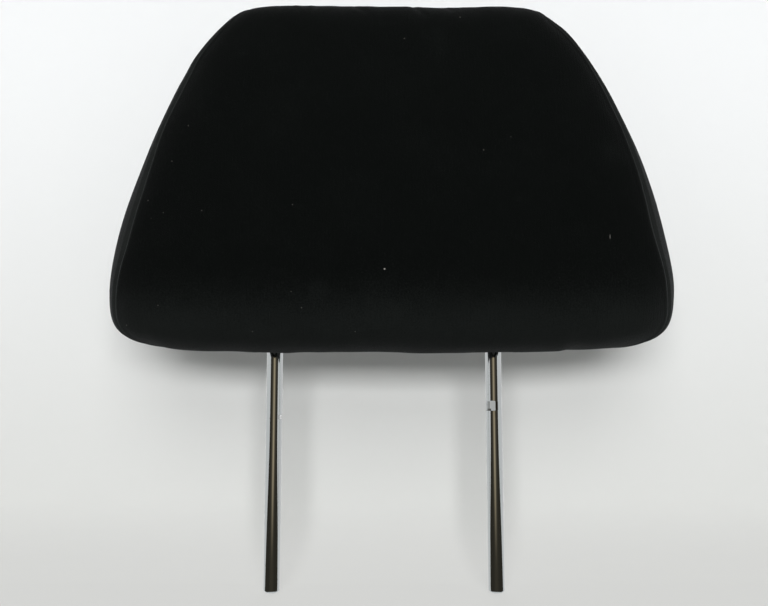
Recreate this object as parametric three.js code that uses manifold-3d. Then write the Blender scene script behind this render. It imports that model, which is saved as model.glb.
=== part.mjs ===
// Car headrest: a padded head restraint that tilts on a bent steel rod with two posts.
// Millimetres, +Z up along the posts, front towards -Y, origin midway between the post tips.

import * as THREE from 'three';
import { mergeVertices } from 'three/addons/utils/BufferGeometryUtils.js';
import Module from 'manifold-3d';

const wasm = await Module();
wasm.setup();

// Clearances, and how far a cut runs out past what it cuts
const RUNNING_GAP = 0.3;
const SEAM_GAP = 0.45;
const LEG_CLEARANCE = 2;
const COVER_GAP = 0.5;
const CUT_OVERRUN = 1;

// Bent rod with its two posts
const ROD_DIAMETER = 10;
const POST_SPACING = 138;
const BAR_HEIGHT = 250;
const BEND_RADIUS = 22;
const TIP_CHAMFER = 1.6;
const NOTCH_HEIGHT = 113.5;
const NOTCH_LENGTH = 6.2;
const NOTCH_DEPTH = 2.4;
const NOTCH_TURN_DEG = 35;
const NICK_HEIGHT = 106.5;
const NICK_LENGTH = 2.6;
const NICK_DEPTH = 1.1;

// Tilt of the pad on the rod's cross bar
const LEAN_DEG = 6.2;
const TILT_DEG = 15;

// Pad outline, measured from the cross bar and seen square to its face
const PAD_HALF_WIDTH = 169.6;
const PAD_BELOW_BAR = 99.3;
const PAD_ABOVE_BAR = 104.6;
const WIDEST_BELOW_BAR = 64.2;
const SIDE_BEND_BELOW_BAR = 32.3;
const SHOULDER_X = 99.4;
const SHOULDER_Z = 94.6;
const SHOULDER_BEND_X = 132.3;
const SHOULDER_BEND_Z = 68.4;
const CORNER_BEND_X = 162.8;
const PAD_SIDE_OFFSET = 4.5;

// Pad depth: the widest plane lies in front of the bar, with a crown before and behind it
const MIDDLE_FORWARD = 27.3;
const MIDDLE_FORWARD_TOP = 35.3;
const FRONT_DEPTH = 50;
const FRONT_DEPTH_TOP = 32;
const BACK_DEPTH = 58;
const BACK_DEPTH_TOP = 50;
const EDGE_POWER = 6.8;
const TAPER_POWER = 1.8;
const CROWN_BELOW_BAR = 9.5;
const UNDERSIDE_SLOPE = 0.15;

// Cover: a wrapped main panel and two side gussets
const COVER_THICKNESS = 2.6;
const SEAM_DEG_BOTTOM = 34;
const SEAM_DEG_MIDDLE = 42;
const SEAM_DEG_TOP = 28.8;
const SEAM_BOTTOM_BELOW_BAR = 84.5;
const SEAM_MIDDLE_BELOW_BAR = 34.5;
const SEAM_TOP_ABOVE_BAR = 90.5;
const SEAM_END_LENGTH = 12;
const GUSSET_UNDERSIDE_X = 132;
const GUSSET_TOP_X = 85;
const CLOSURE_GAP = 2;

// Two part carrier inside the foam
const CARRIER_HALF_WIDTH = 84;
const CARRIER_BELOW_BAR = 62;
const CARRIER_ABOVE_BAR = 20;
const CARRIER_FRONT = 34;
const CARRIER_REAR = 12;
const CARRIER_WALL = 2.5;

// Bearings and clamps on the cross bar
const BUSH_X = 30;
const BUSH_WALL = 2.2;
const BUSH_FLANGE = 1.5;
const BUSH_FLANGE_RIM = 2;
const BUSH_SLIT = 1.2;
const SADDLE_WIDTH = 20;
const SADDLE_HALF_HEIGHT = 12;
const CLIP_X = 12;
const CLIP_WIDTH = 10;
const CLIP_SHEET = 1;
const CLIP_SLIT = 1.4;
const CLIP_TAB_REACH = 24;
const CLIP_SCREW_FORWARD = 18;
const SHELF_DEPTH = 12;
const SHELF_REACH = 12;

// Stop collar pinned on the middle of the cross bar
const COLLAR_DIAMETER = 18;
const COLLAR_WIDTH = 10;
const LUG_WIDTH = 6;
const LUG_REACH = 15;
const LUG_ROOT_DEPTH = 2;
const PIN_DIAMETER = 3;
const STOP_RIB_HEIGHT = 7.5;
const STOP_RIB_WIDTH = 8;
const STOP_RIB_DEPTH = 10;

// Screws
const SCREW_DIAMETER = 3;
const SCREW_HEAD_DIAMETER = 6;
const SCREW_HEAD_HEIGHT = 2.2;
const SCREW_HEAD_WALL = 1.2;
const SCREW_CROWN_RADIUS = 2.2;
const SCREW_POINT_RADIUS = 0.6;
const SCREW_POINT_LENGTH = 2.2;
const CROSS_HALF_WIDTH = 0.9;
const CROSS_REACH = 1.6;
const CROSS_FLOOR = 0.9;
const CARRIER_SCREW_LENGTH = 24;
const CLIP_SCREW_LENGTH = 14;
const BOSS_DIAMETER = 8;
const BOSS_X = 48;
const BOSS_ABOVE_BAR = 13;
const BOSS_BELOW_BAR = 50;
const COUNTERBORE_DEPTH = 3;

// Slotted bezels and hook profiles at the underside
const BEZEL_WALL = 1.6;
const BEZEL_RIM = 3;
const BEZEL_FLANGE = 1.6;
const BEZEL_SINK = 5.2;
const BEZEL_SKIRT = 9;
const UNDERSIDE_CUT_REACH = 12.5;
const PASSAGE_OVERLAP = 10;
const HOOK_LENGTH = 88;
const HOOK_SHEET = 1.2;
const HOOK_SEAT = 1.3;
const HOOK_REACH = 12;
const HOOK_LIP = 3;
const HOOK_RISE = 6;

// Mesh fineness
const ROUND_SIDES = 16;
const BEND_STEPS = 7;
const UNDERSIDE_STEPS = 4;
const GUSSET_STEPS = 18;
const TOP_STEPS = 4;
const CROWDING = 0.75;
const EDGE_RINGS = 4;
const CROWN_RINGS = 3;
const GUSSET_RINGS = 6;
const CROWN_START_DEG = 62;

const rodRadius = ROD_DIAMETER / 2;
const postX = POST_SPACING / 2;
const sleeveBore = rodRadius + RUNNING_GAP;
const screwHole = SCREW_DIAMETER / 2 + RUNNING_GAP;
const lean = THREE.MathUtils.degToRad(LEAN_DEG);
const fullLean = THREE.MathUtils.degToRad(LEAN_DEG + TILT_DEG);

function plainGeometry(geometry) {
  const bare = geometry.index ? geometry.toNonIndexed() : geometry.clone();
  bare.deleteAttribute('normal');
  bare.deleteAttribute('uv');
  return mergeVertices(bare, 1e-4);
}

function solidOf(geometry) {
  const bare = plainGeometry(geometry);
  return new wasm.Manifold(new wasm.Mesh({
    numProp: 3,
    vertProperties: new Float32Array(bare.attributes.position.array),
    triVerts: new Uint32Array(bare.index.array),
  }));
}

function geometryOf(solid) {
  const mesh = solid.getMesh();
  const geometry = new THREE.BufferGeometry();
  geometry.setAttribute('position', new THREE.BufferAttribute(new Float32Array(mesh.vertProperties), 3));
  geometry.setIndex(new THREE.BufferAttribute(new Uint32Array(mesh.triVerts), 1));
  return geometry;
}

function boxSolid([x0, x1], [y0, y1], [z0, z1]) {
  const geometry = new THREE.BoxGeometry(x1 - x0, y1 - y0, z1 - z0);
  geometry.translate((x0 + x1) / 2, (y0 + y1) / 2, (z0 + z1) / 2);
  return solidOf(geometry);
}

// A round bar between two points
function barGeometry(radius, start, end, sides = ROUND_SIDES) {
  const from = new THREE.Vector3(...start);
  const to = new THREE.Vector3(...end);
  const along = to.clone().sub(from);
  const geometry = new THREE.CylinderGeometry(radius, radius, along.length(), sides);
  const turn = new THREE.Quaternion().setFromUnitVectors(new THREE.Vector3(0, 1, 0), along.normalize());
  geometry.applyQuaternion(turn);
  geometry.translate(...from.add(to).multiplyScalar(0.5).toArray());
  return geometry;
}

function barSolid(radius, start, end, sides = ROUND_SIDES) {
  return solidOf(barGeometry(radius, start, end, sides));
}

// A profile drawn in Y and Z, drawn out along X
function alongX(points, x0, x1) {
  const shape = new THREE.Shape(points.map(([y, z]) => new THREE.Vector2(y, z)));
  const geometry = new THREE.ExtrudeGeometry(shape, { depth: x1 - x0, bevelEnabled: false });
  const turn = new THREE.Matrix4().makeBasis(
    new THREE.Vector3(0, 1, 0), new THREE.Vector3(0, 0, 1), new THREE.Vector3(1, 0, 0));
  geometry.applyMatrix4(turn);
  geometry.translate(x0, 0, 0);
  return geometry;
}

// An oval with straight sides, drawn in X and Y and drawn out along Z
function slotSolid(halfWidth, [y0, y1], [z0, z1]) {
  const shape = new THREE.Shape();
  shape.absarc(0, y1 - halfWidth, halfWidth, 0, Math.PI, false);
  shape.absarc(0, y0 + halfWidth, halfWidth, Math.PI, 2 * Math.PI, false);
  const geometry = new THREE.ExtrudeGeometry(shape, {
    depth: z1 - z0, bevelEnabled: false, curveSegments: ROUND_SIDES / 2,
  });
  geometry.translate(0, 0, z0);
  return solidOf(geometry);
}

// Bent rod

// The rod's centre line: up one post, across the bar and down the other, with rings only where it bends
class BentRodPath extends THREE.Curve {
  constructor() {
    super();
    this.stops = [];
    const bendZ = BAR_HEIGHT - BEND_RADIUS;
    const bendX = postX - BEND_RADIUS;
    this.addStop(-postX, 0, Math.PI / 2);
    for (let step = 0; step <= BEND_STEPS; step += 1) {
      const turn = (Math.PI / 2) * (step / BEND_STEPS);
      const x = -bendX - BEND_RADIUS * Math.cos(turn);
      this.addStop(x, bendZ + BEND_RADIUS * Math.sin(turn), Math.PI / 2 - turn);
    }
    for (let step = 0; step <= BEND_STEPS; step += 1) {
      const turn = (Math.PI / 2) * (step / BEND_STEPS);
      const x = bendX + BEND_RADIUS * Math.sin(turn);
      this.addStop(x, bendZ + BEND_RADIUS * Math.cos(turn), -turn);
    }
    this.addStop(postX, 0, -Math.PI / 2);
  }

  addStop(x, z, heading) {
    this.stops.push({
      point: new THREE.Vector3(x, 0, z),
      tangent: new THREE.Vector3(Math.cos(heading), 0, Math.sin(heading)),
    });
  }

  stopAt(t) {
    return this.stops[Math.round(t * (this.stops.length - 1))];
  }

  getPoint(t) {
    return this.stopAt(t).point.clone();
  }

  getTangent(t) {
    return this.stopAt(t).tangent.clone();
  }

  getUtoTmapping(u) {
    return u;
  }
}

function rodSolid() {
  const path = new BentRodPath();
  const section = new THREE.Shape();
  section.absarc(0, 0, rodRadius, 0, 2 * Math.PI, false);
  return solidOf(new THREE.ExtrudeGeometry(section, {
    steps: path.stops.length - 1,
    curveSegments: ROUND_SIDES / 2,
    extrudePath: path,
  }));
}

// The ring that is turned off a post's tip to leave its chamfer
function tipChamferSolid(x) {
  const inner = rodRadius - TIP_CHAMFER - CUT_OVERRUN;
  const outer = rodRadius + CUT_OVERRUN;
  const profile = [
    new THREE.Vector2(inner, -CUT_OVERRUN),
    new THREE.Vector2(outer, -CUT_OVERRUN),
    new THREE.Vector2(outer, TIP_CHAMFER + CUT_OVERRUN),
    new THREE.Vector2(inner, -CUT_OVERRUN),
  ];
  const geometry = new THREE.LatheGeometry(profile, ROUND_SIDES);
  geometry.rotateX(Math.PI / 2);
  geometry.translate(x, 0, 0);
  return solidOf(geometry);
}

// A flat floored notch across a post, cut from the side that turnDeg gives, counted from +X
function notchSolid(x, height, length, depth, turnDeg) {
  const geometry = new THREE.BoxGeometry(ROD_DIAMETER, ROD_DIAMETER * 2, length);
  geometry.translate(rodRadius - depth + rodRadius, 0, height);
  geometry.rotateZ(THREE.MathUtils.degToRad(turnDeg));
  geometry.translate(x, 0, 0);
  return solidOf(geometry);
}

function postFrameGeometry() {
  const pinBore = PIN_DIAMETER / 2 + RUNNING_GAP;
  const pinHole = barSolid(pinBore, [0, -ROD_DIAMETER, BAR_HEIGHT], [0, ROD_DIAMETER, BAR_HEIGHT]);
  const solid = rodSolid()
    .subtract(tipChamferSolid(-postX))
    .subtract(tipChamferSolid(postX))
    .subtract(notchSolid(postX, NOTCH_HEIGHT, NOTCH_LENGTH, NOTCH_DEPTH, 180 + NOTCH_TURN_DEG))
    .subtract(notchSolid(-postX, NICK_HEIGHT, NICK_LENGTH, NICK_DEPTH, 0))
    .subtract(pinHole);
  return geometryOf(solid);
}

function stopCollarGeometry() {
  const half = COLLAR_WIDTH / 2;
  const ring = barSolid(COLLAR_DIAMETER / 2, [-half, 0, 0], [half, 0, 0]);
  const lugRoot = COLLAR_DIAMETER / 2 - LUG_ROOT_DEPTH;
  const lug = boxSolid([-half, half], [-LUG_WIDTH / 2, LUG_WIDTH / 2], [lugRoot, LUG_REACH]);
  const bore = barSolid(sleeveBore, [-COLLAR_WIDTH, 0, 0], [COLLAR_WIDTH, 0, 0]);
  const pinHole = barSolid(PIN_DIAMETER / 2 + RUNNING_GAP, [0, -COLLAR_DIAMETER, 0], [0, COLLAR_DIAMETER, 0]);
  return geometryOf(ring.add(lug).subtract(bore).subtract(pinHole));
}

// Pad surface

// Half of the pad's outline, from the middle of the underside to the middle of the top
function halfOutline() {
  const v = (x, z) => new THREE.Vector2(x, z);
  const bottom = -PAD_BELOW_BAR;
  const top = PAD_ABOVE_BAR;
  const widest = v(PAD_HALF_WIDTH, -WIDEST_BELOW_BAR);
  const shoulder = v(SHOULDER_X, SHOULDER_Z);
  const rise = (top - SHOULDER_Z) / (SHOULDER_Z - SHOULDER_BEND_Z);
  const shoulderOut = v(SHOULDER_X - rise * (SHOULDER_BEND_X - SHOULDER_X), top);
  const path = new THREE.CurvePath();
  path.add(new THREE.CubicBezierCurve(
    v(0, bottom), v(CORNER_BEND_X, bottom), v(PAD_HALF_WIDTH, bottom), widest));
  path.add(new THREE.CubicBezierCurve(
    widest, v(PAD_HALF_WIDTH, -SIDE_BEND_BELOW_BAR), v(SHOULDER_BEND_X, SHOULDER_BEND_Z), shoulder));
  path.add(new THREE.CubicBezierCurve(shoulder, shoulderOut, shoulderOut, v(0, top)));
  path.arcLengthDivisions = 400;
  return path;
}

// Where along the half outline it passes a given distance from the middle line
function outlineShareAt(path, x, [low, high]) {
  let [start, end] = [low, high];
  const rising = path.getPointAt(end).x > path.getPointAt(start).x;
  for (let step = 0; step < 40; step += 1) {
    const middle = (start + end) / 2;
    const beyond = path.getPointAt(middle).x > x;
    if (beyond === rising) end = middle;
    else start = middle;
  }
  return start;
}

function smoothStep(share) {
  const s = THREE.MathUtils.clamp(share, 0, 1);
  return s * s * (3 - 2 * s);
}

// How far round the edge a gusset's seam lies, seen from the pad's widest plane
function seamAngle(z, fromEnd) {
  const aboveMiddle = z + SEAM_MIDDLE_BELOW_BAR;
  const upper = smoothStep(aboveMiddle / (SEAM_TOP_ABOVE_BAR + SEAM_MIDDLE_BELOW_BAR));
  const lower = smoothStep(-aboveMiddle / (SEAM_BOTTOM_BELOW_BAR - SEAM_MIDDLE_BELOW_BAR));
  const degrees = SEAM_DEG_MIDDLE
    + (SEAM_DEG_TOP - SEAM_DEG_MIDDLE) * upper
    + (SEAM_DEG_BOTTOM - SEAM_DEG_MIDDLE) * lower;
  const remaining = 1 - Math.min(1, Math.max(0, fromEnd) / SEAM_END_LENGTH);
  return THREE.MathUtils.degToRad(degrees) * Math.sqrt(1 - remaining * remaining);
}

function stationAt(path, share, gussetEnds) {
  const point = path.getPointAt(share);
  const tangent = path.getTangentAt(share);
  const length = path.getLength();
  const fromEnd = Math.min(share - gussetEnds[0], gussetEnds[1] - share) * length;
  return {
    x: point.x,
    z: point.y,
    nx: tangent.y,
    nz: -tangent.x,
    fromEnd,
    seam: fromEnd > 0 ? seamAngle(point.y, fromEnd) : 0,
    underside: share <= gussetEnds[0],
  };
}

// Stations from the underside's middle to the top's middle, closer together towards the gusset's ends
function halfStations() {
  const path = halfOutline();
  const gussetEnds = [
    outlineShareAt(path, GUSSET_UNDERSIDE_X, [0, 0.5]),
    outlineShareAt(path, GUSSET_TOP_X, [0.5, 1]),
  ];
  const bounds = [0, gussetEnds[0], gussetEnds[1], 1];
  const stations = [];
  [UNDERSIDE_STEPS, GUSSET_STEPS, TOP_STEPS].forEach((steps, span) => {
    for (let step = 0; step < steps; step += 1) {
      const even = step / steps;
      const eased = (1 - Math.cos(Math.PI * even)) / 2;
      const along = span === 1 ? even + (eased - even) * CROWDING : even;
      const share = bounds[span] + (bounds[span + 1] - bounds[span]) * along;
      stations.push(stationAt(path, share, gussetEnds));
    }
  });
  stations.push(stationAt(path, 1, gussetEnds));
  const nudge = SEAM_GAP * 2 / path.getLength();
  const tips = [
    stationAt(path, gussetEnds[0] + nudge, gussetEnds),
    stationAt(path, gussetEnds[1] - nudge, gussetEnds),
  ];
  return { stations, tips };
}

const { stations: rightStations, tips: gussetTips } = halfStations();
const mirrored = (station) => ({ ...station, x: -station.x, nx: -station.nx });
const leftStations = rightStations.slice(1, -1).map(mirrored).reverse();
const loopStations = [...rightStations, ...leftStations];

function middleY(share) {
  return -(MIDDLE_FORWARD + (MIDDLE_FORWARD_TOP - MIDDLE_FORWARD) * share);
}

function crownDepth(share, side) {
  const [low, high] = side < 0 ? [FRONT_DEPTH, FRONT_DEPTH_TOP] : [BACK_DEPTH, BACK_DEPTH_TOP];
  return low + (high - low) * share ** TAPER_POWER;
}

// A point on the pad: side -1 is the front and +1 the back, ring holds how far out and how deep it lies
function padPoint(station, side, ring, inset) {
  const outX = station.x - station.nx * inset;
  const outZ = station.z - station.nz * inset;
  const z = -CROWN_BELOW_BAR + (outZ + CROWN_BELOW_BAR) * ring.reach;
  const share = THREE.MathUtils.clamp((z + PAD_BELOW_BAR) / (PAD_BELOW_BAR + PAD_ABOVE_BAR), 0, 1);
  const middle = middleY(share);
  const y = middle + side * (crownDepth(share, side) - inset) * ring.depth;
  const droop = UNDERSIDE_SLOPE * (y - middle) * (1 - share) ** 2;
  return new THREE.Vector3(outX * ring.reach + PAD_SIDE_OFFSET, y, z + droop);
}

function edgeRing(angle) {
  return { reach: Math.cos(angle) ** (2 / EDGE_POWER), depth: Math.sin(angle) };
}

// Rings from an angle on the pad's edge to the middle of its face
function ringsFrom(angle) {
  const crownStart = THREE.MathUtils.degToRad(CROWN_START_DEG);
  const rings = [];
  for (let step = 0; step <= EDGE_RINGS; step += 1) {
    rings.push(edgeRing(angle + (crownStart - angle) * (step / EDGE_RINGS)));
  }
  const reach = rings[EDGE_RINGS].reach;
  for (let step = 1; step <= CROWN_RINGS; step += 1) {
    const inner = reach * (1 - step / CROWN_RINGS);
    rings.push({ reach: inner, depth: Math.sqrt(1 - inner ** EDGE_POWER) });
  }
  return rings;
}

// Gathers faces and drops those that a pole or a seam's end has closed up
class FaceList {
  constructor() {
    this.positions = [];
  }

  triangle(a, b, c) {
    const near = 1e-3;
    if (a.distanceTo(b) < near || b.distanceTo(c) < near || c.distanceTo(a) < near) return;
    this.positions.push(...a.toArray(), ...b.toArray(), ...c.toArray());
  }

  quad(a, b, c, d, flipped = false) {
    if (flipped) {
      this.triangle(a, d, c);
      this.triangle(a, c, b);
    } else {
      this.triangle(a, b, c);
      this.triangle(a, c, d);
    }
  }

  geometry() {
    const geometry = new THREE.BufferGeometry();
    geometry.setAttribute('position', new THREE.Float32BufferAttribute(this.positions, 3));
    return mergeVertices(geometry, 1e-3);
  }
}

// The angle at which the main panel ends: at a gusset's seam, at the closure, or nowhere over the top
function mainPanelAngle(station) {
  if (station.underside) return CLOSURE_GAP / 2 / FRONT_DEPTH;
  return station.seam > 0 ? station.seam + SEAM_GAP / 2 / FRONT_DEPTH : 0;
}

// The whole pad as one closed solid, this far inside the cover's outer face, on the panels' own grid
function padSolid(inset) {
  const faces = new FaceList();
  const edges = loopStations.map(mainPanelAngle);
  const columns = loopStations.map((station, i) => {
    const rings = ringsFrom(edges[i]);
    const column = rings.map((ring) => padPoint(station, -1, ring, inset)).reverse();
    for (let step = 2 - GUSSET_RINGS; step < GUSSET_RINGS; step += 2) {
      const angle = edges[i] * (step / GUSSET_RINGS);
      column.push(padPoint(station, Math.sign(angle) || 1, edgeRing(Math.abs(angle)), inset));
    }
    return column.concat(rings.map((ring) => padPoint(station, 1, ring, inset)));
  });
  columns.forEach((column, i) => {
    const next = columns[(i + 1) % columns.length];
    for (let j = 0; j + 1 < column.length; j += 1) {
      if (j < column.length / 2) faces.quad(column[j + 1], next[j + 1], next[j], column[j]);
      else faces.quad(column[j], next[j], next[j + 1], column[j + 1], true);
    }
  });
  return solidOf(faces.geometry());
}

// The main panel: front, top and back in one, closed along the underside
function mainPanelSolid() {
  const faces = new FaceList();
  const edges = loopStations.map(mainPanelAngle);
  const ringSets = edges.map(ringsFrom);
  const gridOf = (side, inset) => loopStations.map((station, i) => (
    ringSets[i].map((ring) => padPoint(station, side, ring, inset))));
  for (const side of [-1, 1]) {
    const outer = gridOf(side, 0);
    const inner = gridOf(side, COVER_THICKNESS);
    outer.forEach((column, i) => {
      const n = (i + 1) % outer.length;
      for (let j = 0; j + 1 < column.length; j += 1) {
        faces.quad(column[j], outer[n][j], outer[n][j + 1], column[j + 1], side > 0);
        faces.quad(inner[i][j], inner[n][j], inner[n][j + 1], inner[i][j + 1], side < 0);
      }
      if (edges[i] > 0 || edges[n] > 0) {
        faces.quad(column[0], inner[i][0], inner[n][0], outer[n][0], side > 0);
      }
    });
  }
  return solidOf(faces.geometry());
}

// A side gusset, from its end under the pad to its end on the top
function gussetGeometry(mirror) {
  const inside = rightStations.filter((station) => station.fromEnd > 1e-6 && !station.underside);
  const base = [gussetTips[0], ...inside.filter((station) => station.fromEnd > SEAM_GAP * 3), gussetTips[1]];
  const stations = mirror ? base.map(mirrored) : base;
  const gridOf = (inset) => stations.map((station, i) => {
    const atTip = i === 0 || i === stations.length - 1;
    const seam = atTip ? 0 : station.seam - SEAM_GAP / 2 / FRONT_DEPTH;
    const column = [];
    for (let step = -GUSSET_RINGS; step <= GUSSET_RINGS; step += 2) {
      const angle = seam * (step / GUSSET_RINGS);
      column.push(padPoint(station, Math.sign(angle) || 1, edgeRing(Math.abs(angle)), inset));
    }
    return column;
  });
  const outer = gridOf(0);
  const inner = gridOf(COVER_THICKNESS);
  const faces = new FaceList();
  const last = outer[0].length - 1;
  for (let i = 0; i + 1 < outer.length; i += 1) {
    for (let j = 0; j < last; j += 1) {
      faces.quad(outer[i][j], outer[i][j + 1], outer[i + 1][j + 1], outer[i + 1][j], mirror);
      faces.quad(inner[i][j], inner[i][j + 1], inner[i + 1][j + 1], inner[i + 1][j], !mirror);
    }
    faces.quad(outer[i][0], outer[i + 1][0], inner[i + 1][0], inner[i][0], mirror);
    faces.quad(outer[i][last], outer[i + 1][last], inner[i + 1][last], inner[i][last], !mirror);
  }
  faces.quad(outer[0][0], inner[0][0], inner[0][last], outer[0][last], mirror);
  const end = outer.length - 1;
  faces.quad(outer[end][0], inner[end][0], inner[end][last], outer[end][last], !mirror);
  return faces.geometry();
}

// Underside: its own plane through the middle of the pad's bottom edge, with the posts' slots

const undersideTurn = Math.atan(UNDERSIDE_SLOPE);
const undersidePlace = new THREE.Matrix4()
  .makeTranslation(0, middleY(0), -PAD_BELOW_BAR)
  .multiply(new THREE.Matrix4().makeRotationX(undersideTurn));
const barInUnderside = new THREE.Vector3(0, 0, 0).applyMatrix4(undersidePlace.clone().invert());

// Where a post's centre line crosses a level of the underside's own frame, at a lean of the pad
function postCrossing(padLean, level) {
  return barInUnderside.y - (barInUnderside.z - level) * Math.tan(padLean + undersideTurn);
}

// The Y range that a post sweeps at a level, from rest to full tilt
function postSweep(level, margin) {
  const halfAtRest = rodRadius / Math.cos(lean + undersideTurn);
  const halfAtTilt = rodRadius / Math.cos(fullLean + undersideTurn);
  return [
    postCrossing(fullLean, level) - halfAtTilt - margin,
    postCrossing(lean, level) + halfAtRest + margin,
  ];
}

const skirtTop = BEZEL_SINK + BEZEL_SKIRT;
const bezelSlot = [
  postSweep(BEZEL_SINK - BEZEL_FLANGE, LEG_CLEARANCE / 2)[0],
  postSweep(skirtTop, LEG_CLEARANCE / 2)[1],
];
const grow = ([low, high], by) => [low - by, high + by];
const bezelSkirtWidth = rodRadius + LEG_CLEARANCE + BEZEL_WALL;

function bezelGeometry() {
  const skirt = slotSolid(bezelSkirtWidth, grow(bezelSlot, BEZEL_WALL), [BEZEL_SINK - BEZEL_FLANGE, skirtTop]);
  const flange = slotSolid(
    bezelSkirtWidth + BEZEL_RIM,
    grow(bezelSlot, BEZEL_WALL + BEZEL_RIM),
    [BEZEL_SINK - BEZEL_FLANGE, BEZEL_SINK]);
  const opening = slotSolid(rodRadius + LEG_CLEARANCE, bezelSlot, [-UNDERSIDE_CUT_REACH, skirtTop + BEZEL_FLANGE]);
  return geometryOf(skirt.add(flange).subtract(opening));
}

// What a bezel takes out of the cover, in the underside's frame
function bezelCut() {
  const skirt = slotSolid(
    bezelSkirtWidth + RUNNING_GAP,
    grow(bezelSlot, BEZEL_WALL + RUNNING_GAP),
    [-UNDERSIDE_CUT_REACH, skirtTop]);
  const flange = slotSolid(
    bezelSkirtWidth + BEZEL_RIM + RUNNING_GAP,
    grow(bezelSlot, BEZEL_WALL + BEZEL_RIM + RUNNING_GAP),
    [-UNDERSIDE_CUT_REACH, BEZEL_SINK + RUNNING_GAP]);
  return skirt.add(flange);
}

// A post's passage through the foam and the carrier, as wide as asked and as long as the sweep
function passageSolid(halfWidth, margin) {
  const low = -UNDERSIDE_CUT_REACH;
  const high = barInUnderside.z - CARRIER_BELOW_BAR + PASSAGE_OVERLAP;
  const [lowFront, lowRear] = postSweep(low, margin);
  const [highFront, highRear] = postSweep(high, margin);
  const rear = Math.max(bezelSlot[1] + BEZEL_WALL + RUNNING_GAP * 2, lowRear);
  const front = Math.min(bezelSlot[0] - BEZEL_WALL - RUNNING_GAP * 2, lowFront);
  const profile = [
    [front, low], [rear, low], [rear, skirtTop],
    [highRear, high], [highFront, high], [front, skirtTop],
  ];
  return solidOf(alongX(profile, -halfWidth, halfWidth));
}

const moved = (solid, x, y = 0, z = 0) => solid.translate([x, y, z]);
const inPad = (solid) => solid.transform(undersidePlace.elements);
const atPosts = (solid) => moved(solid, -postX).add(moved(solid, postX));

// Hook profiles that close the cover between the bezels
const hookBase = COVER_THICKNESS + HOOK_SEAT;

function rearHookProfile() {
  const low = hookBase;
  const high = low + HOOK_RISE - HOOK_SHEET - RUNNING_GAP;
  return [
    [HOOK_REACH, low], [HOOK_REACH, low + HOOK_SHEET],
    [HOOK_SHEET + RUNNING_GAP, low + HOOK_SHEET], [HOOK_SHEET + RUNNING_GAP, high],
    [RUNNING_GAP, high], [RUNNING_GAP, low],
  ];
}

function frontHookProfile() {
  const low = hookBase;
  const high = low + HOOK_RISE;
  const lipLeft = HOOK_SHEET + RUNNING_GAP * 2;
  const lipLow = low + HOOK_SHEET + RUNNING_GAP;
  const foot = -HOOK_REACH + HOOK_LIP;
  return [
    [-HOOK_REACH, low], [foot + HOOK_SHEET, low], [foot + HOOK_SHEET, high - HOOK_SHEET],
    [lipLeft, high - HOOK_SHEET], [lipLeft, lipLow], [lipLeft + HOOK_SHEET, lipLow],
    [lipLeft + HOOK_SHEET, high], [foot, high], [foot, low + HOOK_SHEET], [-HOOK_REACH, low + HOOK_SHEET],
  ];
}

function hookGrooveSolid() {
  const half = HOOK_LENGTH / 2 + RUNNING_GAP * 2;
  const side = HOOK_REACH + RUNNING_GAP * 2;
  return boxSolid([-half, half], [-side, side], [-UNDERSIDE_CUT_REACH, hookBase + HOOK_RISE + RUNNING_GAP]);
}

// Carrier

const carrierInside = {
  halfWidth: CARRIER_HALF_WIDTH - CARRIER_WALL,
  bottom: -CARRIER_BELOW_BAR + CARRIER_WALL,
  top: CARRIER_ABOVE_BAR - CARRIER_WALL,
  front: -CARRIER_FRONT + CARRIER_WALL,
  rear: CARRIER_REAR - CARRIER_WALL,
};
const saddleBore = sleeveBore + BUSH_WALL + RUNNING_GAP;
const bossPlaces = [
  [-BOSS_X, -BOSS_BELOW_BAR], [BOSS_X, -BOSS_BELOW_BAR], [BOSS_X, BOSS_ABOVE_BAR], [-BOSS_X, BOSS_ABOVE_BAR],
];
const screwSeat = CARRIER_REAR - COUNTERBORE_DEPTH;
const bothSides = (make) => make(-1).add(make(1));

// One open shell with its bosses and bearing saddles; depth runs from its wall to the split plane
function carrierShell(outer, wallFace, split) {
  const inside = carrierInside;
  const depth = [Math.min(outer, split), Math.max(outer, split)];
  const beyond = split - Math.sign(outer) * CUT_OVERRUN;
  const hollow = [Math.min(wallFace, beyond), Math.max(wallFace, beyond)];
  const shell = boxSolid([-CARRIER_HALF_WIDTH, CARRIER_HALF_WIDTH], depth, [-CARRIER_BELOW_BAR, CARRIER_ABOVE_BAR])
    .subtract(boxSolid([-inside.halfWidth, inside.halfWidth], hollow, [inside.bottom, inside.top]));
  const saddles = bothSides((side) => boxSolid(
    [side * BUSH_X - SADDLE_WIDTH / 2, side * BUSH_X + SADDLE_WIDTH / 2],
    depth,
    [-SADDLE_HALF_HEIGHT, SADDLE_HALF_HEIGHT]));
  const bosses = bossPlaces
    .map(([x, z]) => barSolid(BOSS_DIAMETER / 2, [x, depth[0], z], [x, depth[1], z]))
    .reduce((all, boss) => all.add(boss));
  const bore = barSolid(saddleBore, [-BUSH_X - SADDLE_WIDTH, 0, 0], [BUSH_X + SADDLE_WIDTH, 0, 0]);
  return shell.add(saddles).add(bosses).subtract(bore);
}

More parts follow.
